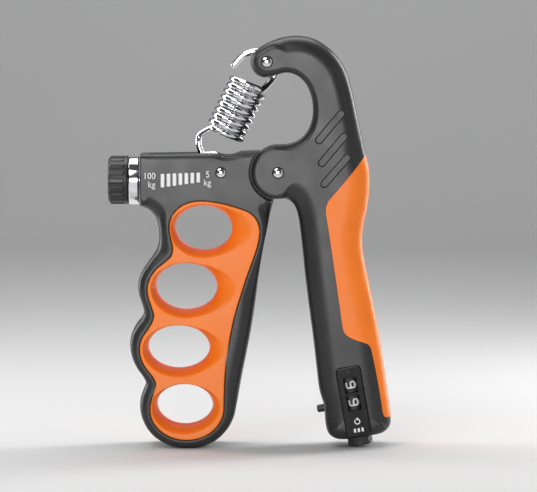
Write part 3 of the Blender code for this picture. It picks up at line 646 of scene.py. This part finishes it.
def case_screw(at):
    """Pan-head screw with a cross recess."""
    head = SCREW_SEAT + 0.2
    profile = [(0.0, -7.0), (0.35, -7.0), (0.85, -6.0), (0.85, head), (1.65, head), (1.65, head + 0.7)]
    profile += [(1.65 * math.cos(a), head + 0.7 + 0.65 * math.sin(a)) for a in (0.4, 0.8, 1.2)]
    profile.append((0.0, head + 1.35))
    slots = [prism(box_outline(at[0] - w, at[1] - h, at[0] + w, at[1] + h), head + 0.6, head + 3)
             for w, h in ((0.95, 0.2), (0.2, 0.95))]
    return cut(along_y(at, profile, 40), slots)


def rivet(at, shank, head):
    """Rivet with a low dome in front and a flat rear end under the face."""
    front, rear, seat = HALF + 0.2, HALF - 0.1, RIVET_SEAT + 0.2
    profile = [(0.0, -front)]
    for k in range(1, 9):
        a = math.pi / 2 * k / 8
        profile.append(((head - 0.12) * math.sin(a), -front + 0.75 * (1 - math.cos(a))))
    profile += [(head, -front + 0.95), (head, -seat), (shank, -seat), (shank, seat), (head, seat),
                (head, rear - 0.3), (head - 0.35, rear), (0.0, rear)]
    return along_y(at, profile, 56)


def build_grip():
    window = spread(smooth(INSERT, 8, closed=True), 0.8)
    outer = anticlockwise(grip_outer())
    radii = grip_radii(outer, window)
    for side, word in ((-1, "front"), (1, "rear")):
        shell = plate(side, outer, radii, [window])
        low, high = sorted((side * SEAM, side * TONGUE_HALF))
        tongue = [(-14.5, 8.0)] + arc((0, 0), TONGUE_R, 122, -98, 60) + [(-3.2, -16.5), (-14.5, -13.8)]
        shell = cut(shell, [prism(tongue, low, high)], "UNION")
        tools = [
            prism(box_outline(*CARRIAGE_BAY), -BAY_HALF, BAY_HALF),
            prism(box_outline(-50.3, 2.5, -14.7, 14.0), -TOP_SLOT_HALF, TOP_SLOT_HALF),
            turned([(3.6, -20.2), (3.6, -15.4)], 48, "x", SCREW_LINE),
            turned([(2.8, -55.0), (2.8, -48.0)], 48, "x", SCREW_LINE),
            rivet_bore(RIVET_AT, 2.35, 1.35),
            along_y((0, 0), [(3.6, -14), (3.6, 14)], 64),
        ]
        tools += [screw_bore(at) for at in GRIP_SCREWS]
        piece(f"grip_{word}", cut(shell, tools), "graphite", "grip", f"grip_shell_{word}",
              slot="graphite_plastic")
        piece(f"finger_ring_{word}", finger_insert(side), "orange", "grip", f"finger_insert_{word}",
              slot="orange_rubber", sharp=40)
    for i, at in enumerate(GRIP_SCREWS, 1):
        piece(f"grip_fixing_{i}", case_screw(at), "steel", "grip", f"grip_screw_{i}", slot="plain_steel")
    piece("rivet_housing", rivet(RIVET_AT, 1.2, 2.1), "chrome", "grip", "housing_rivet",
          slot="chrome_steel")
    bush = hollow([(3.1, -3.9), (3.3, -3.7), (3.3, 3.7), (3.1, 3.9)], [(1.9, -3.9), (1.9, 3.9)], 56, "y")
    piece("bush_pivot", bush, "brass", "grip", "pivot_bush", slot="bearing_brass")
    end = hollow([(3.2, -19.9), (3.4, -19.7), (3.4, -15.9), (3.2, -15.7)], [(2.05, -19.9), (2.05, -15.7)],
                 48, "x", SCREW_LINE)
    piece("bush_screw_end", end, "brass", "grip", "screw_end_bush", slot="bearing_brass")
    washer = hollow([(4.2, -53.8), (4.2, -53.5)], [(2.75, -53.8), (2.75, -53.5)], 48, "x", SCREW_LINE)
    piece("washer_thrust", washer, "steel", "grip", "thrust_washer", slot="plain_steel")


# The adjuster.

def even(start, end, step):
    count = max(1, round((end - start) / step))
    return [start + (end - start) * i / count for i in range(count + 1)]


def build_adjuster():
    axis = (SCREW_FROM[0], 0, SCREW_FROM[1])
    ribs = 18

    def knob_radius(a, h):
        """Body with raised round-ended ribs, a rounded outer rim and a plain flange at the collar."""
        body = 9.05 if h < 0.45 else 9.5
        if h < -4.9:
            body -= 1.1 * (1 - math.sqrt(max(0.0, 1 - ((-4.9 - h) / 1.1) ** 2)))
        phase = (a * ribs / math.tau) % 1.0 - 0.5
        across = phase * math.tau / ribs * 9.2
        beyond = max(0.0, h + 0.55, -4.3 - h)
        away = math.hypot(across, beyond)
        rise = min(1.0, max(0.0, (1.02 - away) / 0.28))
        return body + 0.42 * rise * rise * (3 - 2 * rise) if h < 0.45 else body - 0.12 * (h > 1.6)

    heights = even(-6.0, -4.9, 0.12) + even(-4.78, 0.3, 0.17) + [0.44, 0.46, 0.62, 1.55, 1.7]
    knob = surface(knob_radius, heights, 432, "x", axis)
    knob = cut(knob, [
        turned([(3.3, -3.0), (3.3, 4.0)], 48, "x", axis),
        turned([(6.3, -8.0), (6.3, -4.6)], 64, "x", axis),
        turned([(1.4, -5.0), (1.4, -2.0)], 32, "x", axis),
    ])
    piece("knob_body", knob, "knob", "knob", "adjust_knob", slot="knob_plastic", sharp=50)
    crown = [(0.0, -5.9), (4.6, -5.85), (5.5, -5.7), (5.9, -5.4), (6.0, -5.1), (6.0, -5.0), (0.0, -5.0)]
    piece("knob_end_cap", turned(crown, 64, "x", axis), "gloss", "knob", "knob_cap", slot="black_gloss")
    rim = [(9.0, 2.0), (9.25, 2.06), (9.45, 2.25), (9.55, 2.6), (9.55, 5.4), (9.45, 5.75), (9.25, 5.94), (9.0, 6.0)]
    collar = hollow(rim, [(2.9, 2.0), (2.9, 6.0)], 96, "x", axis)
    piece("collar", collar, "chrome", "knob", "knob_collar", slot="chrome_steel")
    bolt = turned([(0.0, -4.5), (0.9, -4.5), (1.1, -4.3), (1.1, -1.3), (0.0, -1.3)], 32, "x", axis)
    piece("knob_fixing", bolt, "steel", "knob", "knob_bolt", slot="plain_steel")

    def screw_radius(a, h):
        if h < 1.5:
            return 3.0
        if h < 9.2:
            return 2.5
        if h > 36.2:
            return 1.0 if h < 39.7 else 1.9
        wave = abs(((h / THREAD_PITCH - a / math.tau) % 1.0) - 0.5) * 2
        return THREAD_R - 0.42 * min(1.0, max(0.0, (wave - 0.25) / 0.55))

    heights = [-1.0, 1.49, 1.5, 9.19] + even(9.2, 36.2, 0.125) + [36.21, 39.69, 39.7, 44.2]
    piece("screw_adjusting", surface(screw_radius, heights, 48, "x", axis), "steel", "knob", "lead_screw",
          slot="plain_steel", sharp=60)


def build_carriage():
    """The nut with its two ears, and the pin between them."""
    ear = [(-34.5, 1.0), (-29.0, 1.0), (-27.0, 3.2)] + arc(LOWER_PIN_AT, 2.4, -90, 90, 24)
    ear += [(-30.0, 7.4), (-34.5, 4.0)]
    body = prism(box_outline(-36.3, -7.0, -28.7, 2.0), -7.5, 7.5)
    body = cut(body, [prism(ear, -4.3, 4.3)], "UNION")
    body = cut(body, [
        prism(box_outline(-36.0, 2.0, -20.0, 12.0), -1.6, 1.6),
        turned([(THREAD_R + 0.15, -40.0), (THREAD_R + 0.15, -24.0)], 48, "x", SCREW_LINE),
        along_y(LOWER_PIN_AT, [(1.5, -8), (1.5, 8)], 40),
    ])
    piece("carriage", body, "steel", "carriage", "hook_carriage", slot="plain_steel")
    pin = [(0.0, -4.6), (1.1, -4.6), (1.3, -4.4), (1.3, 4.4), (1.1, 4.6), (0.0, 4.6)]
    piece("pin_lower", along_y(LOWER_PIN_AT, pin, 40), "steel", "spring_foot", "lower_hook_pin", slot="plain_steel")


# The spring.

def coil_point(turn):
    foot, head = Vector(COIL_FOOT), Vector(COIL_HEAD)
    along = (head - foot).normalized()
    across = Vector((along.y, -along.x))
    body = (head - foot).length - 2 * WIRE_R
    a = math.pi + math.tau * turn
    flat = foot + along * (WIRE_R + body * turn / COILS) + across * COIL_R * math.cos(a)
    return (flat.x, COIL_R * math.sin(a), flat.y)


def coil_line(start, end, steps):
    return [coil_point(start + (end - start) * i / steps) for i in range(steps + 1)]


def world(x, z, y=0.0):
    return ((PIVOT_X + x) * MM, y * MM, (PIVOT_Z + z) * MM)


def build_spring():
    """One wire, in lengths that meet: each hook rides on its own body, and the coils between them, split at the
    middle, stay fixed.
    """
    px, pz = LOWER_PIN_AT
    hx, hz = HOOK_PIN_AT
    lower = [(px + 1.0, 0.0, pz - 2.55), (px - 1.1, 0.0, pz - 2.6), (px - 3.3, 0.0, pz - 0.6),
             (-30.3, 0.0, 8.6), (-30.9, 0.0, 11.6), (-30.2, 0.0, 14.4)]
    upper = [(-2.5, 0.0, 35.6), (-0.8, 0.0, 38.6), (0.2, 0.0, 42.0), (hx + 3.0, 0.0, hz + 2.4),
             (hx, 0.0, hz + 3.4), (-9.0, 0.0, 46.7), (-13.6, 0.0, 45.0), (-17.4, 0.0, 41.0)]
    joint, middle = 0.2, COILS / 2
    first = smooth(lower + [coil_point(0.1), coil_point(0.15), coil_point(joint)], 6)
    last = smooth([coil_point(COILS - joint), coil_point(COILS - 0.15), coil_point(COILS - 0.1)] + upper, 6)
    piece("hook_lower", wire(first, WIRE_R, round_start=True), "chrome", "spring_lower", "spring_lower_hook",
          slot="chrome_steel")
    piece("hook_upper", wire(last, WIRE_R, round_end=True), "chrome", "spring_upper", "spring_upper_hook",
          slot="chrome_steel")
    foot, head = Vector(COIL_FOOT), Vector(COIL_HEAD)
    centre = foot + (head - foot) / 2
    spans = (("coils_lower", joint, middle, "spring_lower", "spring_middle", foot, centre),
             ("coils_upper", middle, COILS - joint, "spring_middle", "spring_upper", centre, head))
    for name, start, end, below, above, bottom, top in spans:
        line = coil_line(start, end, round((end - start) * 40))
        coils = piece(name, wire(line, WIRE_R), "chrome", None, "spring_coils", slot="chrome_steel")
        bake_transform(coils)


# The handle.

def handle_outer(step=0.7):
    """The handle's silhouette with its knuckle."""
    side = smooth(HANDLE_SIDE, 10)
    return spread(side + arc((0, 0), KNUCKLE_R, -89, -269, 60)[1:-1], step)


def handle_radii(loop):
    """How far the face's rounding reaches in: broad down both sides, narrow at the ear and the mouth."""
    wanted = []
    for x, z in loop:
        if math.hypot(x, z) < KNUCKLE_R + 0.3 and x < 3.0:
            wanted.append(1.7)
        elif x < 14.5 and 9.0 < z < 38.6 and x > -4.0:
            wanted.append(2.4)
        elif z < -99.0:
            wanted.append(4.4)
        elif x < 0.0 and z > 30.0:
            wanted.append(3.4)
        elif x < 20.0 and z < -9.0:
            wanted.append(8.4)
        elif z > 12.0:
            wanted.append(7.0)
        else:
            wanted.append(9.0)
    return softened(wanted, 24)


def pad_region(grow=0.0):
    """The pad's front edge, closed well outside the handle."""
    region = smooth(PAD_EDGE, 10) + [(52.0, -94.8), (52.0, 7.9)]
    return offset(anticlockwise(spread(region, 0.7)), -grow)


def pad_core(depth):
    """What the pad wraps, depth inside the silhouette."""
    outer = anticlockwise(handle_outer(1.0))
    inner = offset(outer, depth)
    side = [b for a, b in zip(outer, inner) if a[0] > 27 and -99.5 < a[1] < 30]
    return side + [(4.0, 30.0), (4.0, -60.0), (16.0, -99.0)]


def groove_cutter(start, end, side):
    """Shallow slot with round ends and a softened floor."""
    top, floor = side * (HALF + 1.0), side * (HALF - GROOVE_DEPTH)
    rim = side * (HALF - 0.12)
    rows = [(stadium(start, end, GROOVE_R + 0.22), top), (stadium(start, end, GROOVE_R + 0.18), side * HALF),
            (stadium(start, end, GROOVE_R), rim), (stadium(start, end, GROOVE_R - 0.05), floor + side * 0.25),
            (stadium(start, end, GROOVE_R - 0.3), floor)]
    return loft([[(x, y, z) for x, z in row] for row, y in rows])


def bezel_outline(grow):
    return rounded_box(-4.85 - grow, -10.2 - grow, 4.85 + grow, 17.3 + grow, 1.6 + grow, 10)


def handle_cutters():
    tip_slot = [(-14, 30), (-4, 30), (2.5, 35), (5.5, 41), (3.5, 47), (-3, 56), (-14, 56)]
    room = [(11.5, -17.5), (15.0, -14.5), (17.5, -22.0), (20.5, -38.0), (23.0, -54.0), (24.0, -63.5),
            (18.0, -63.5), (15.4, -52.0), (13.2, -35.0)]
    found = [
        prism(circle((0, 0), KNUCKLE_R + 0.4, 96), -EAR_INNER, EAR_INNER),
        prism(tip_slot, -SLOT_HALF, SLOT_HALF),
        prism(room, -8.6, 8.6),
        rivet_bore((0, 0), 2.4, 1.9),
        rivet_bore(HOOK_PIN_AT, 2.45, 1.65),
        in_counter(prism(box_outline(-8.6, -6.2, 7.2, 16.5), -9.0, 8.8)),
        in_counter(turned([(1.8, -20), (1.8, -6)], 40, "x", (0, PLUNGER_Y, PLUNGER_AT))),
        in_counter(turned([(5.1, -20), (5.1, -8.6)], 64, "z", DRUM_LINE)),
        in_counter(turned([(2.2, -9), (2.2, -5)], 40, "z", DRUM_LINE)),
    ]
    return found + [screw_bore(at) for at in HANDLE_SCREWS]


def build_handle():
    loop = anticlockwise(offset(anticlockwise(handle_outer()), 0.05))
    radii = handle_radii(loop)
    for side, word in ((-1, "front"), (1, "rear")):
        shell = plate(side, loop, radii, steps=12, deepest=HANDLE_DEPTH)
        recess = cut(prism(pad_region(0.13), -20, 20), [prism(pad_core(2.5), -9.5, 9.5)])
        cutters = [recess] + handle_cutters() + [groove_cutter(start, end, side) for start, end in GROOVES]
        if side < 0:
            cutters.append(in_counter(prism(bezel_outline(0.12), -20, -8.5)))
        piece(f"handle_{word}", cut(shell, cutters), "graphite", "handle", f"handle_shell_{word}",
              slot="graphite_plastic")
    pad = cut(full_plate(loop, radii), [prism(pad_region(), -20, 20)], "INTERSECT")
    pad = cut(pad, [prism(pad_core(2.2), -9.8, 9.8)])
    piece("pad_palm", pad, "orange", "handle", "palm_pad", slot="orange_rubber")
    piece("pivot_rivet", rivet((0, 0), 1.75, 2.2), "chrome", "handle", "pivot_pin", slot="chrome_steel")
    piece("hook_rivet", rivet(HOOK_PIN_AT, 1.5, 2.25), "chrome", "handle", "hook_pin", slot="chrome_steel")
    for i, at in enumerate(HANDLE_SCREWS, 1):
        piece(f"handle_fixing_{i}", case_screw(at), "steel", "handle", f"handle_screw_{i}",
              slot="plain_steel")
    for side, word in ((-1, "front"), (1, "rear")):
        low, high = sorted((side * (TONGUE_HALF + 0.3), side * (EAR_INNER - 0.3)))
        rim = [(5.9, low), (6.0, low + 0.1), (6.0, high - 0.1), (5.9, high)]
        washer = hollow(rim, [(1.95, low), (1.95, high)], 64, "y")
        piece(f"washer_{word}", washer, "steel", "handle", f"pivot_washer_{word}", slot="plain_steel")


def full_plate(loop, radii):
    """A whole body with both faces filleted."""
    bm = bmesh.new()
    rings = fillet(bm, loop, radii, -1, 12, HANDLE_DEPTH)[::-1] + fillet(bm, loop, radii, 1, 12, HANDLE_DEPTH)
    for low, high in zip(rings, rings[1:]):
        bridge(bm, low, high)
    fill(bm, rings[0], [], True)
    fill(bm, rings[-1], [], False)
    bmesh.ops.recalc_face_normals(bm, faces=bm.faces)
    return bm


# The counter.

def bezel():
    """Glossy frame with a soft rim, two windows and their inner bevels."""
    front, rear = BEZEL_FRONT, -(HALF - 1.4)
    rows = [(0.0, rear), (0.0, front + 0.45), (0.13, front + 0.13), (0.45, front)]
    body = loft([[(x, y, z) for x, z in bezel_outline(-inwards)] for inwards, y in rows])
    windows = []
    for i in range(2):
        low = DRUM_STEP * i + 0.2
        high = low + DRUM_WIDTH - 0.4
        rows = []
        for grow, y in ((0.35, -20.0), (0.35, front), (0.0, front + 0.5), (0.0, 0.0)):
            x, z0, z1 = 2.25 + grow, low - grow * 0.6, high + grow * 0.6
            rows.append([(a, y, b) for a, b in rounded_box(-x, z0, x, z1, 0.6)])
        windows.append(loft(rows))
    return in_counter(cut(body, windows))


def lettering(text, size, squeeze):
    """Flat mesh of some characters, centred on the origin, in x and z, as read from the front."""
    curve = bpy.data.curves.new("lettering", "FONT")
    curve.body = text
    curve.size = size
    curve.align_x = "CENTER"
    curve.align_y = "CENTER"
    curve.resolution_u = 4
    holder = bpy.data.objects.new("lettering", curve)
    bpy.context.scene.collection.objects.link(holder)
    view = bpy.context.evaluated_depsgraph_get()
    mesh = bpy.data.meshes.new_from_object(holder.evaluated_get(view))
    bpy.data.objects.remove(holder, do_unlink=True)
    bpy.data.curves.remove(curve)
    bm = bmesh.new()
    bm.from_mesh(mesh)
    bpy.data.meshes.remove(mesh)
    bmesh.ops.remove_doubles(bm, verts=bm.verts, dist=1e-5)
    xs = [v.co.x for v in bm.verts]
    ys = [v.co.y for v in bm.verts]
    middle = ((min(xs) + max(xs)) / 2, (min(ys) + max(ys)) / 2)
    for v in bm.verts:
        v.co = Vector(((v.co.x - middle[0]) * squeeze, 0, v.co.y - middle[1]))
    return bm


def flat(outline):
    """One face in the front's plane."""
    bm = bmesh.new()
    bm.faces.new([bm.verts.new((x, 0, z)) for x, z in outline])
    return bm


def inked(bm):
    """Flat lettering given a little thickness towards the viewer."""
    grown = bmesh.ops.extrude_face_region(bm, geom=list(bm.faces))
    moved = [g for g in grown["geom"] if isinstance(g, bmesh.types.BMVert)]
    bmesh.ops.translate(bm, vec=(0, -INK, 0), verts=moved)
    bmesh.ops.recalc_face_normals(bm, faces=bm.faces)
    return bm


def merged(parts):
    """Several small meshes as one."""
    whole = bmesh.new()
    for part in parts:
        mesh = bpy.data.meshes.new("part")
        part.to_mesh(mesh)
        part.free()
        whole.from_mesh(mesh)
        bpy.data.meshes.remove(mesh)
    return whole


def shifted(bm, x, y, z):
    bm.transform(Matrix.Translation((x, y, z)))
    return bm


DIGIT_STROKES = {
    0: [[(0.5, 2), (0, 2), (0, 0), (1, 0), (1, 2), (0.5, 2)]],
    1: [[(0.2, 1.6), (0.6, 2), (0.6, 0)]],
    2: [[(0, 2), (1, 2), (1, 1), (0, 1), (0, 0), (1, 0)]],
    3: [[(0, 2), (1, 2), (1, 0), (0, 0)], [(0.3, 1), (0.95, 1)]],
    4: [[(0, 2), (0, 1), (0.95, 1)], [(1, 2), (1, 0)]],
    5: [[(1, 2), (0, 2), (0, 1), (1, 1), (1, 0), (0, 0)]],
    6: [[(1, 2), (0, 2), (0, 0), (1, 0), (1, 1), (0.05, 1)]],
    7: [[(0, 2), (1, 2), (1, 0)]],
    8: [[(0.5, 2), (0, 2), (0, 0), (1, 0), (1, 2), (0.5, 2)], [(0.05, 1), (0.95, 1)]],
    9: [[(0.95, 1), (0, 1), (0, 2), (1, 2), (1, 0), (0.1, 0)]],
}
DIGIT_WIDTH, DIGIT_HEIGHT, STROKE = 2.35, 3.25, 0.29


def eased(points, corner, steps=5):
    """Polyline with its corners rounded."""
    found = [points[0]]
    for before, at, after in zip(points, points[1:], points[2:]):
        reach = min(corner, math.dist(before, at) / 2, math.dist(at, after) / 2)
        start = [a + (b - a) * reach / math.dist(before, at) for a, b in zip(at, before)]
        end = [a + (b - a) * reach / math.dist(after, at) for a, b in zip(at, after)]
        for k in range(steps + 1):
            t = k / steps
            weights = ((1 - t) ** 2, 2 * t * (1 - t), t * t)
            found.append(tuple(sum(w * v for w, v in zip(weights, values)) for values in zip(start, at, end)))
    return found + [points[-1]]


def digit(number):
    """One number in flat strokes, centred on the origin, lying on its side with its top to the right."""
    strokes = []
    for points in DIGIT_STROKES[number]:
        line = [((x - 0.5) * DIGIT_WIDTH, (z - 1.0) * DIGIT_HEIGHT / 2) for x, z in points]
        line = spread_open(eased(line, 0.75), 0.16)
        strokes.append(wire([(z, 0.0, -x) for x, z in line], STROKE, 8, True, True))
    flat = merged(strokes)
    for v in flat.verts:
        v.co.y *= 0.1
    return flat


def spread_open(points, step):
    """Open polyline with no side longer than step."""
    found = [points[0]]
    for a, b in zip(points, points[1:]):
        count = max(1, math.ceil(math.dist(a, b) / step))
        found += [tuple(p + (q - p) * k / count for p, q in zip(a, b)) for k in range(1, count + 1)]
    return [p for p, q in zip(found, found[1:]) if math.dist(p, q) > 1e-4] + [found[-1]]


def drum_digits(low, shown):
    """The ten numbers round a drum, the one shown at the front."""
    parts = []
    for number in range(10):
        shape = digit(number)
        for v in shape.verts:
            a = v.co.x / DRUM_R
            r = DRUM_R + 0.005 - v.co.y
            v.co = Vector((r * math.sin(a), -r * math.cos(a), v.co.z))
        turn = Matrix.Rotation(math.tau * (number - shown) / 10, 4, "Z")
        shape.transform(Matrix.Translation((0, DRUM_Y, low + DRUM_WIDTH / 2)) @ turn)
        parts.append(shape)
    return in_counter(merged(parts))


def reset_sign():
    """Print below the windows: an open circle with an arrowhead."""
    loop = arc((0, 0), 1.15, 130, 430, 30)
    inner = arc((0, 0), 0.8, 130, 430, 30)[::-1]
    tip = math.radians(430)
    cx, cz = 0.975 * math.cos(tip), 0.975 * math.sin(tip)
    tx, tz = -math.sin(tip), math.cos(tip)
    nx, nz = math.cos(tip), math.sin(tip)
    corners = [(cx + tx * 0.85, cz + tz * 0.85), (cx + nx * 0.62, cz + nz * 0.62),
               (cx - nx * 0.62, cz - nz * 0.62)]
    return merged([inked(flat(loop + inner)), inked(flat(corners))])


def build_counter():
    piece("bezel", bezel(), "gloss", "handle", "counter_bezel", slot="black_gloss")
    signs = [shifted(reset_sign(), 0.1, BEZEL_FRONT, -4.3)]
    for x in (-1.5, 0.0, 1.5):
        bar = inked(flat(box_outline(x - 0.4, -0.75, x + 0.4, 0.75)))
        signs.append(shifted(bar, 0.1, BEZEL_FRONT, -7.7))
    piece("bezel_print", in_counter(merged(signs)), "print", "handle")
    dot = [(0.0, 0.0), (0.4, 0.0), (0.45, 0.05), (0.45, 0.3), (0.0, 0.3)]
    dot = in_counter(turned(dot, 24, "y", (0.0, BEZEL_FRONT - 0.04, 15.4)))
    piece("bezel_dot", dot, "drum", "handle")
    for name, node, body, low in (("units", "units_drum", "units", 0.0), ("tens", "tens_drum", "tens", DRUM_STEP)):
        high = low + DRUM_WIDTH
        barrel = hollow([(DRUM_R - 0.25, low), (DRUM_R, low + 0.2), (DRUM_R, high - 0.2), (DRUM_R - 0.25, high)],
                        [(1.35, low), (1.35, high)], 120, "z", DRUM_LINE)
        piece(f"drum_{name}", in_counter(barrel), "drum", body, node, slot="drum_plastic")
        piece(f"digits_{name}", drum_digits(low, 9), "print", body)
    pole = [(0.0, -11.5), (1.0, -11.5), (1.2, -11.3), (1.2, 15.4), (1.0, 15.6), (0.0, 15.6)]
    pole = in_counter(turned(pole, 32, "z", DRUM_LINE))
    piece("axle", pole, "steel", "reset", "drum_axle", slot="plain_steel")
    piece("reset_button", reset_body(), "knob", "reset", "reset_knob", slot="knob_plastic", sharp=45)
    build_plunger()
    dressed = {"ratchet_wheel": "drum", "counter_frame": "gloss", "carry_pinion": "brass", "carry_shaft": "steel"}
    for node, look in dressed.items():
        dress(node, look)


def reset_body():
    """Reset knob: fine flutes round its rim, a chamfered foot and its neck."""
    flutes = 36

    def radius(a, h):
        if h > RESET_FROM:
            return 1.9
        size = RESET_R
        foot = RESET_TO + 0.5
        if h < foot:
            size -= 0.45 * (1 - math.sqrt(max(0.0, 1 - ((foot - h) / 0.5) ** 2)))
        wave = math.cos(a * flutes)
        fade = min(1.0, max(0.0, (h - foot) / 0.5)) * min(1.0, max(0.0, (RESET_FROM - 0.6 - h) / 0.4))
        return size - 0.13 * (1 - max(0.0, wave)) * fade

    heights = even(RESET_TO, RESET_TO + 1.2, 0.08) + even(RESET_TO + 1.4, RESET_FROM - 0.02, 0.25)
    heights += [RESET_FROM, RESET_FROM + 0.01, -6.4]
    body = surface(radius, heights, 288, "z", DRUM_LINE)
    return in_counter(cut(body, [turned([(1.35, -12), (1.35, -5)], 32, "z", DRUM_LINE)]))


def build_plunger():
    """Count plunger with a domed end, its flange and pawl, and the return spring behind it."""
    tip = -14.6
    dome = [math.pi / 2 * k / 6 for k in range(1, 7)]
    profile = [(0.0, tip)] + [(1.5 * math.sin(a), tip + 0.55 * (1 - math.cos(a))) for a in dome]
    profile += [(1.5, -7.6), (0.0, -7.6)]
    body = turned(profile, 48, "x", (0, PLUNGER_Y, PLUNGER_AT))
    extras = [
        prism(box_outline(-8.1, -2.6, -7.3, PLUNGER_AT + 1.7), 3.6, 7.0),
        prism(box_outline(-7.8, -2.6, -3.6, -0.8), 3.6, 4.6),
        prism(box_outline(-4.4, -2.6, -3.6, -0.8), 2.0, 4.0),
    ]
    piece("plunger", in_counter(cut(body, extras, "UNION")), "knob", "plunger", "count_plunger",
          slot="knob_plastic")
    turns, per_turn = 4, 24
    line = []
    for i in range(turns * per_turn + 1):
        a = math.tau * i / per_turn
        x = -7.0 + 7.2 * i / (turns * per_turn)
        line.append((x, PLUNGER_Y + 1.2 * math.cos(a), PLUNGER_AT + 1.2 * math.sin(a)))
    coil = piece("coil_return", in_counter(wire(line, 0.22, 10)), "steel", None, "plunger_spring",
                 slot="plain_steel")
    tilt = math.radians(COUNTER_TILT)

    def at(x):
        return world(COUNTER_AT[0] + x * math.cos(tilt) - PLUNGER_AT * math.sin(tilt),
                     COUNTER_AT[1] + x * math.sin(tilt) + PLUNGER_AT * math.cos(tilt), PLUNGER_Y)

    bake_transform(coil)


def dress(node, look):
    """A CAD node that keeps its shape and takes a finished material."""
    obj = frame["nodes"][node]
    if not isinstance(obj, bpy.types.Object):
        obj = bpy.data.objects[node]
    obj.data.materials.clear()
    obj.data.materials.append(LOOKS[look])


# Print on the housing.

def build_scale():
    """The load scale: tapering bars between its two ends' numbers."""
    parts = []
    bars = 7
    for i in range(bars):
        share = i / (bars - 1)
        x = -44.6 + 2.3 * i
        low, high = -5.6 + 1.9 * share, -0.4 + 0.5 * share
        parts.append(shifted(inked(flat(rounded_box(x - 0.68, low, x + 0.68, high, 0.22, 3))), 0, -HALF, 0))
    for text, x, z in (("100", -49.4, -1.2), ("kg", -48.7, -4.9), ("5", -27.2, -0.6), ("kg", -27.2, -4.1)):
        parts.append(shifted(inked(lettering(text, 3.5, 0.92)), x, -HALF, z))
    piece("scale_print", merged(parts), "print", "grip")


# Light, floor and camera.

def build_stage():
    floor_mesh = bpy.data.meshes.new("floor")
    bm = bmesh.new()
    depth, height, radius, width = 1.6, 1.6, 0.5, 2.6
    profile = [(-2.2, 0.0), (depth - radius, 0.0)]
    profile += [(depth - radius + radius * math.sin(a), radius - radius * math.cos(a))
                for a in [math.pi / 2 * k / 24 for k in range(1, 25)]]
    profile.append((depth, height + radius))
    rows = [[bm.verts.new((x, y, z)) for y, z in profile] for x in (-width, width)]
    for i in range(len(profile) - 1):
        bm.faces.new((rows[0][i], rows[1][i], rows[1][i + 1], rows[0][i + 1]))
    bm.to_mesh(floor_mesh)
    bm.free()
    floor_mesh.shade_smooth()
    floor = bpy.data.objects.new("floor", floor_mesh)
    paint = textured("floor_paint", (0.58, 0.58, 0.58), 0.01, 0.75, 0.04, 0.003, 0.00002, 0.0, 0.3)
    floor_mesh.materials.append(paint)
    bpy.context.scene.collection.objects.link(floor)


def area_light(name, at, aim, size, power):
    data = bpy.data.lights.new(name, "AREA")
    data.shape = "RECTANGLE"
    data.size, data.size_y = size
    data.energy = power
    obj = bpy.data.objects.new(name, data)
    bpy.context.scene.collection.objects.link(obj)
    obj.location = at
    obj.rotation_euler = (Vector(aim) - Vector(at)).to_track_quat("-Z", "Y").to_euler()


def build_light():
    centre = (0.0, 0.0, 0.08)
    area_light("key", (-0.22, -0.42, 0.46), (0.0, 0.0, 0.11), (0.34, 0.22), 1.3)
    area_light("front", (-0.08, -1.42, 0.17), (0.0, 0.0, 0.12), (0.42, 0.24), 6.0)
    area_light("fill", (0.75, -0.6, 0.30), centre, (0.5, 0.7), 0.6)
    area_light("top", (0.0, 0.12, 0.75), centre, (0.7, 0.4), 3.4)
    area_light("rim_right", (0.42, 0.22, 0.22), centre, (0.14, 0.5), 2.6)
    area_light("rim_left", (-0.5, 0.15, 0.22), centre, (0.14, 0.5), 2.0)
    area_light("backdrop", (0.0, 0.55, 1.15), (0.0, 1.5, 0.35), (1.6, 0.5), 8.0)
    world_data = bpy.data.worlds.new("studio")
    world_data.use_nodes = True
    background = world_data.node_tree.nodes["Background"]
    background.inputs["Color"].default_value = (0.93, 0.95, 1.0, 1.0)
    background.inputs["Strength"].default_value = 0.07
    bpy.context.scene.world = world_data
    bpy.context.scene.view_settings.view_transform = "Standard"


CAMERA_RISE, CAMERA_DISTANCE = 4.0, 1.25
CAMERA_AIM = (-3.7, -28.7)
VIEW_WIDTH = 208.5


def build_camera():
    """Straight from the front and a little above, as wide as VIEW_WIDTH at the object."""
    data = bpy.data.cameras.new("camera")
    data.sensor_width = 36.0
    data.lens = 36.0 * CAMERA_DISTANCE / (VIEW_WIDTH * MM)
    data.clip_start, data.clip_end = 0.01, 20.0
    obj = bpy.data.objects.new("camera", data)
    bpy.context.scene.collection.objects.link(obj)
    aim = Vector(world(*CAMERA_AIM, y=-6.0))
    rise = math.radians(CAMERA_RISE)
    away = Vector((0.0, -math.cos(rise), math.sin(rise)))
    obj.location = aim + away * CAMERA_DISTANCE
    obj.rotation_euler = (-away).to_track_quat("-Z", "Y").to_euler()
    bpy.context.scene.camera = obj


build_camera()
build_grip()
build_adjuster()
build_carriage()
build_spring()
build_handle()
build_counter()
build_scale()
build_stage()
build_light()
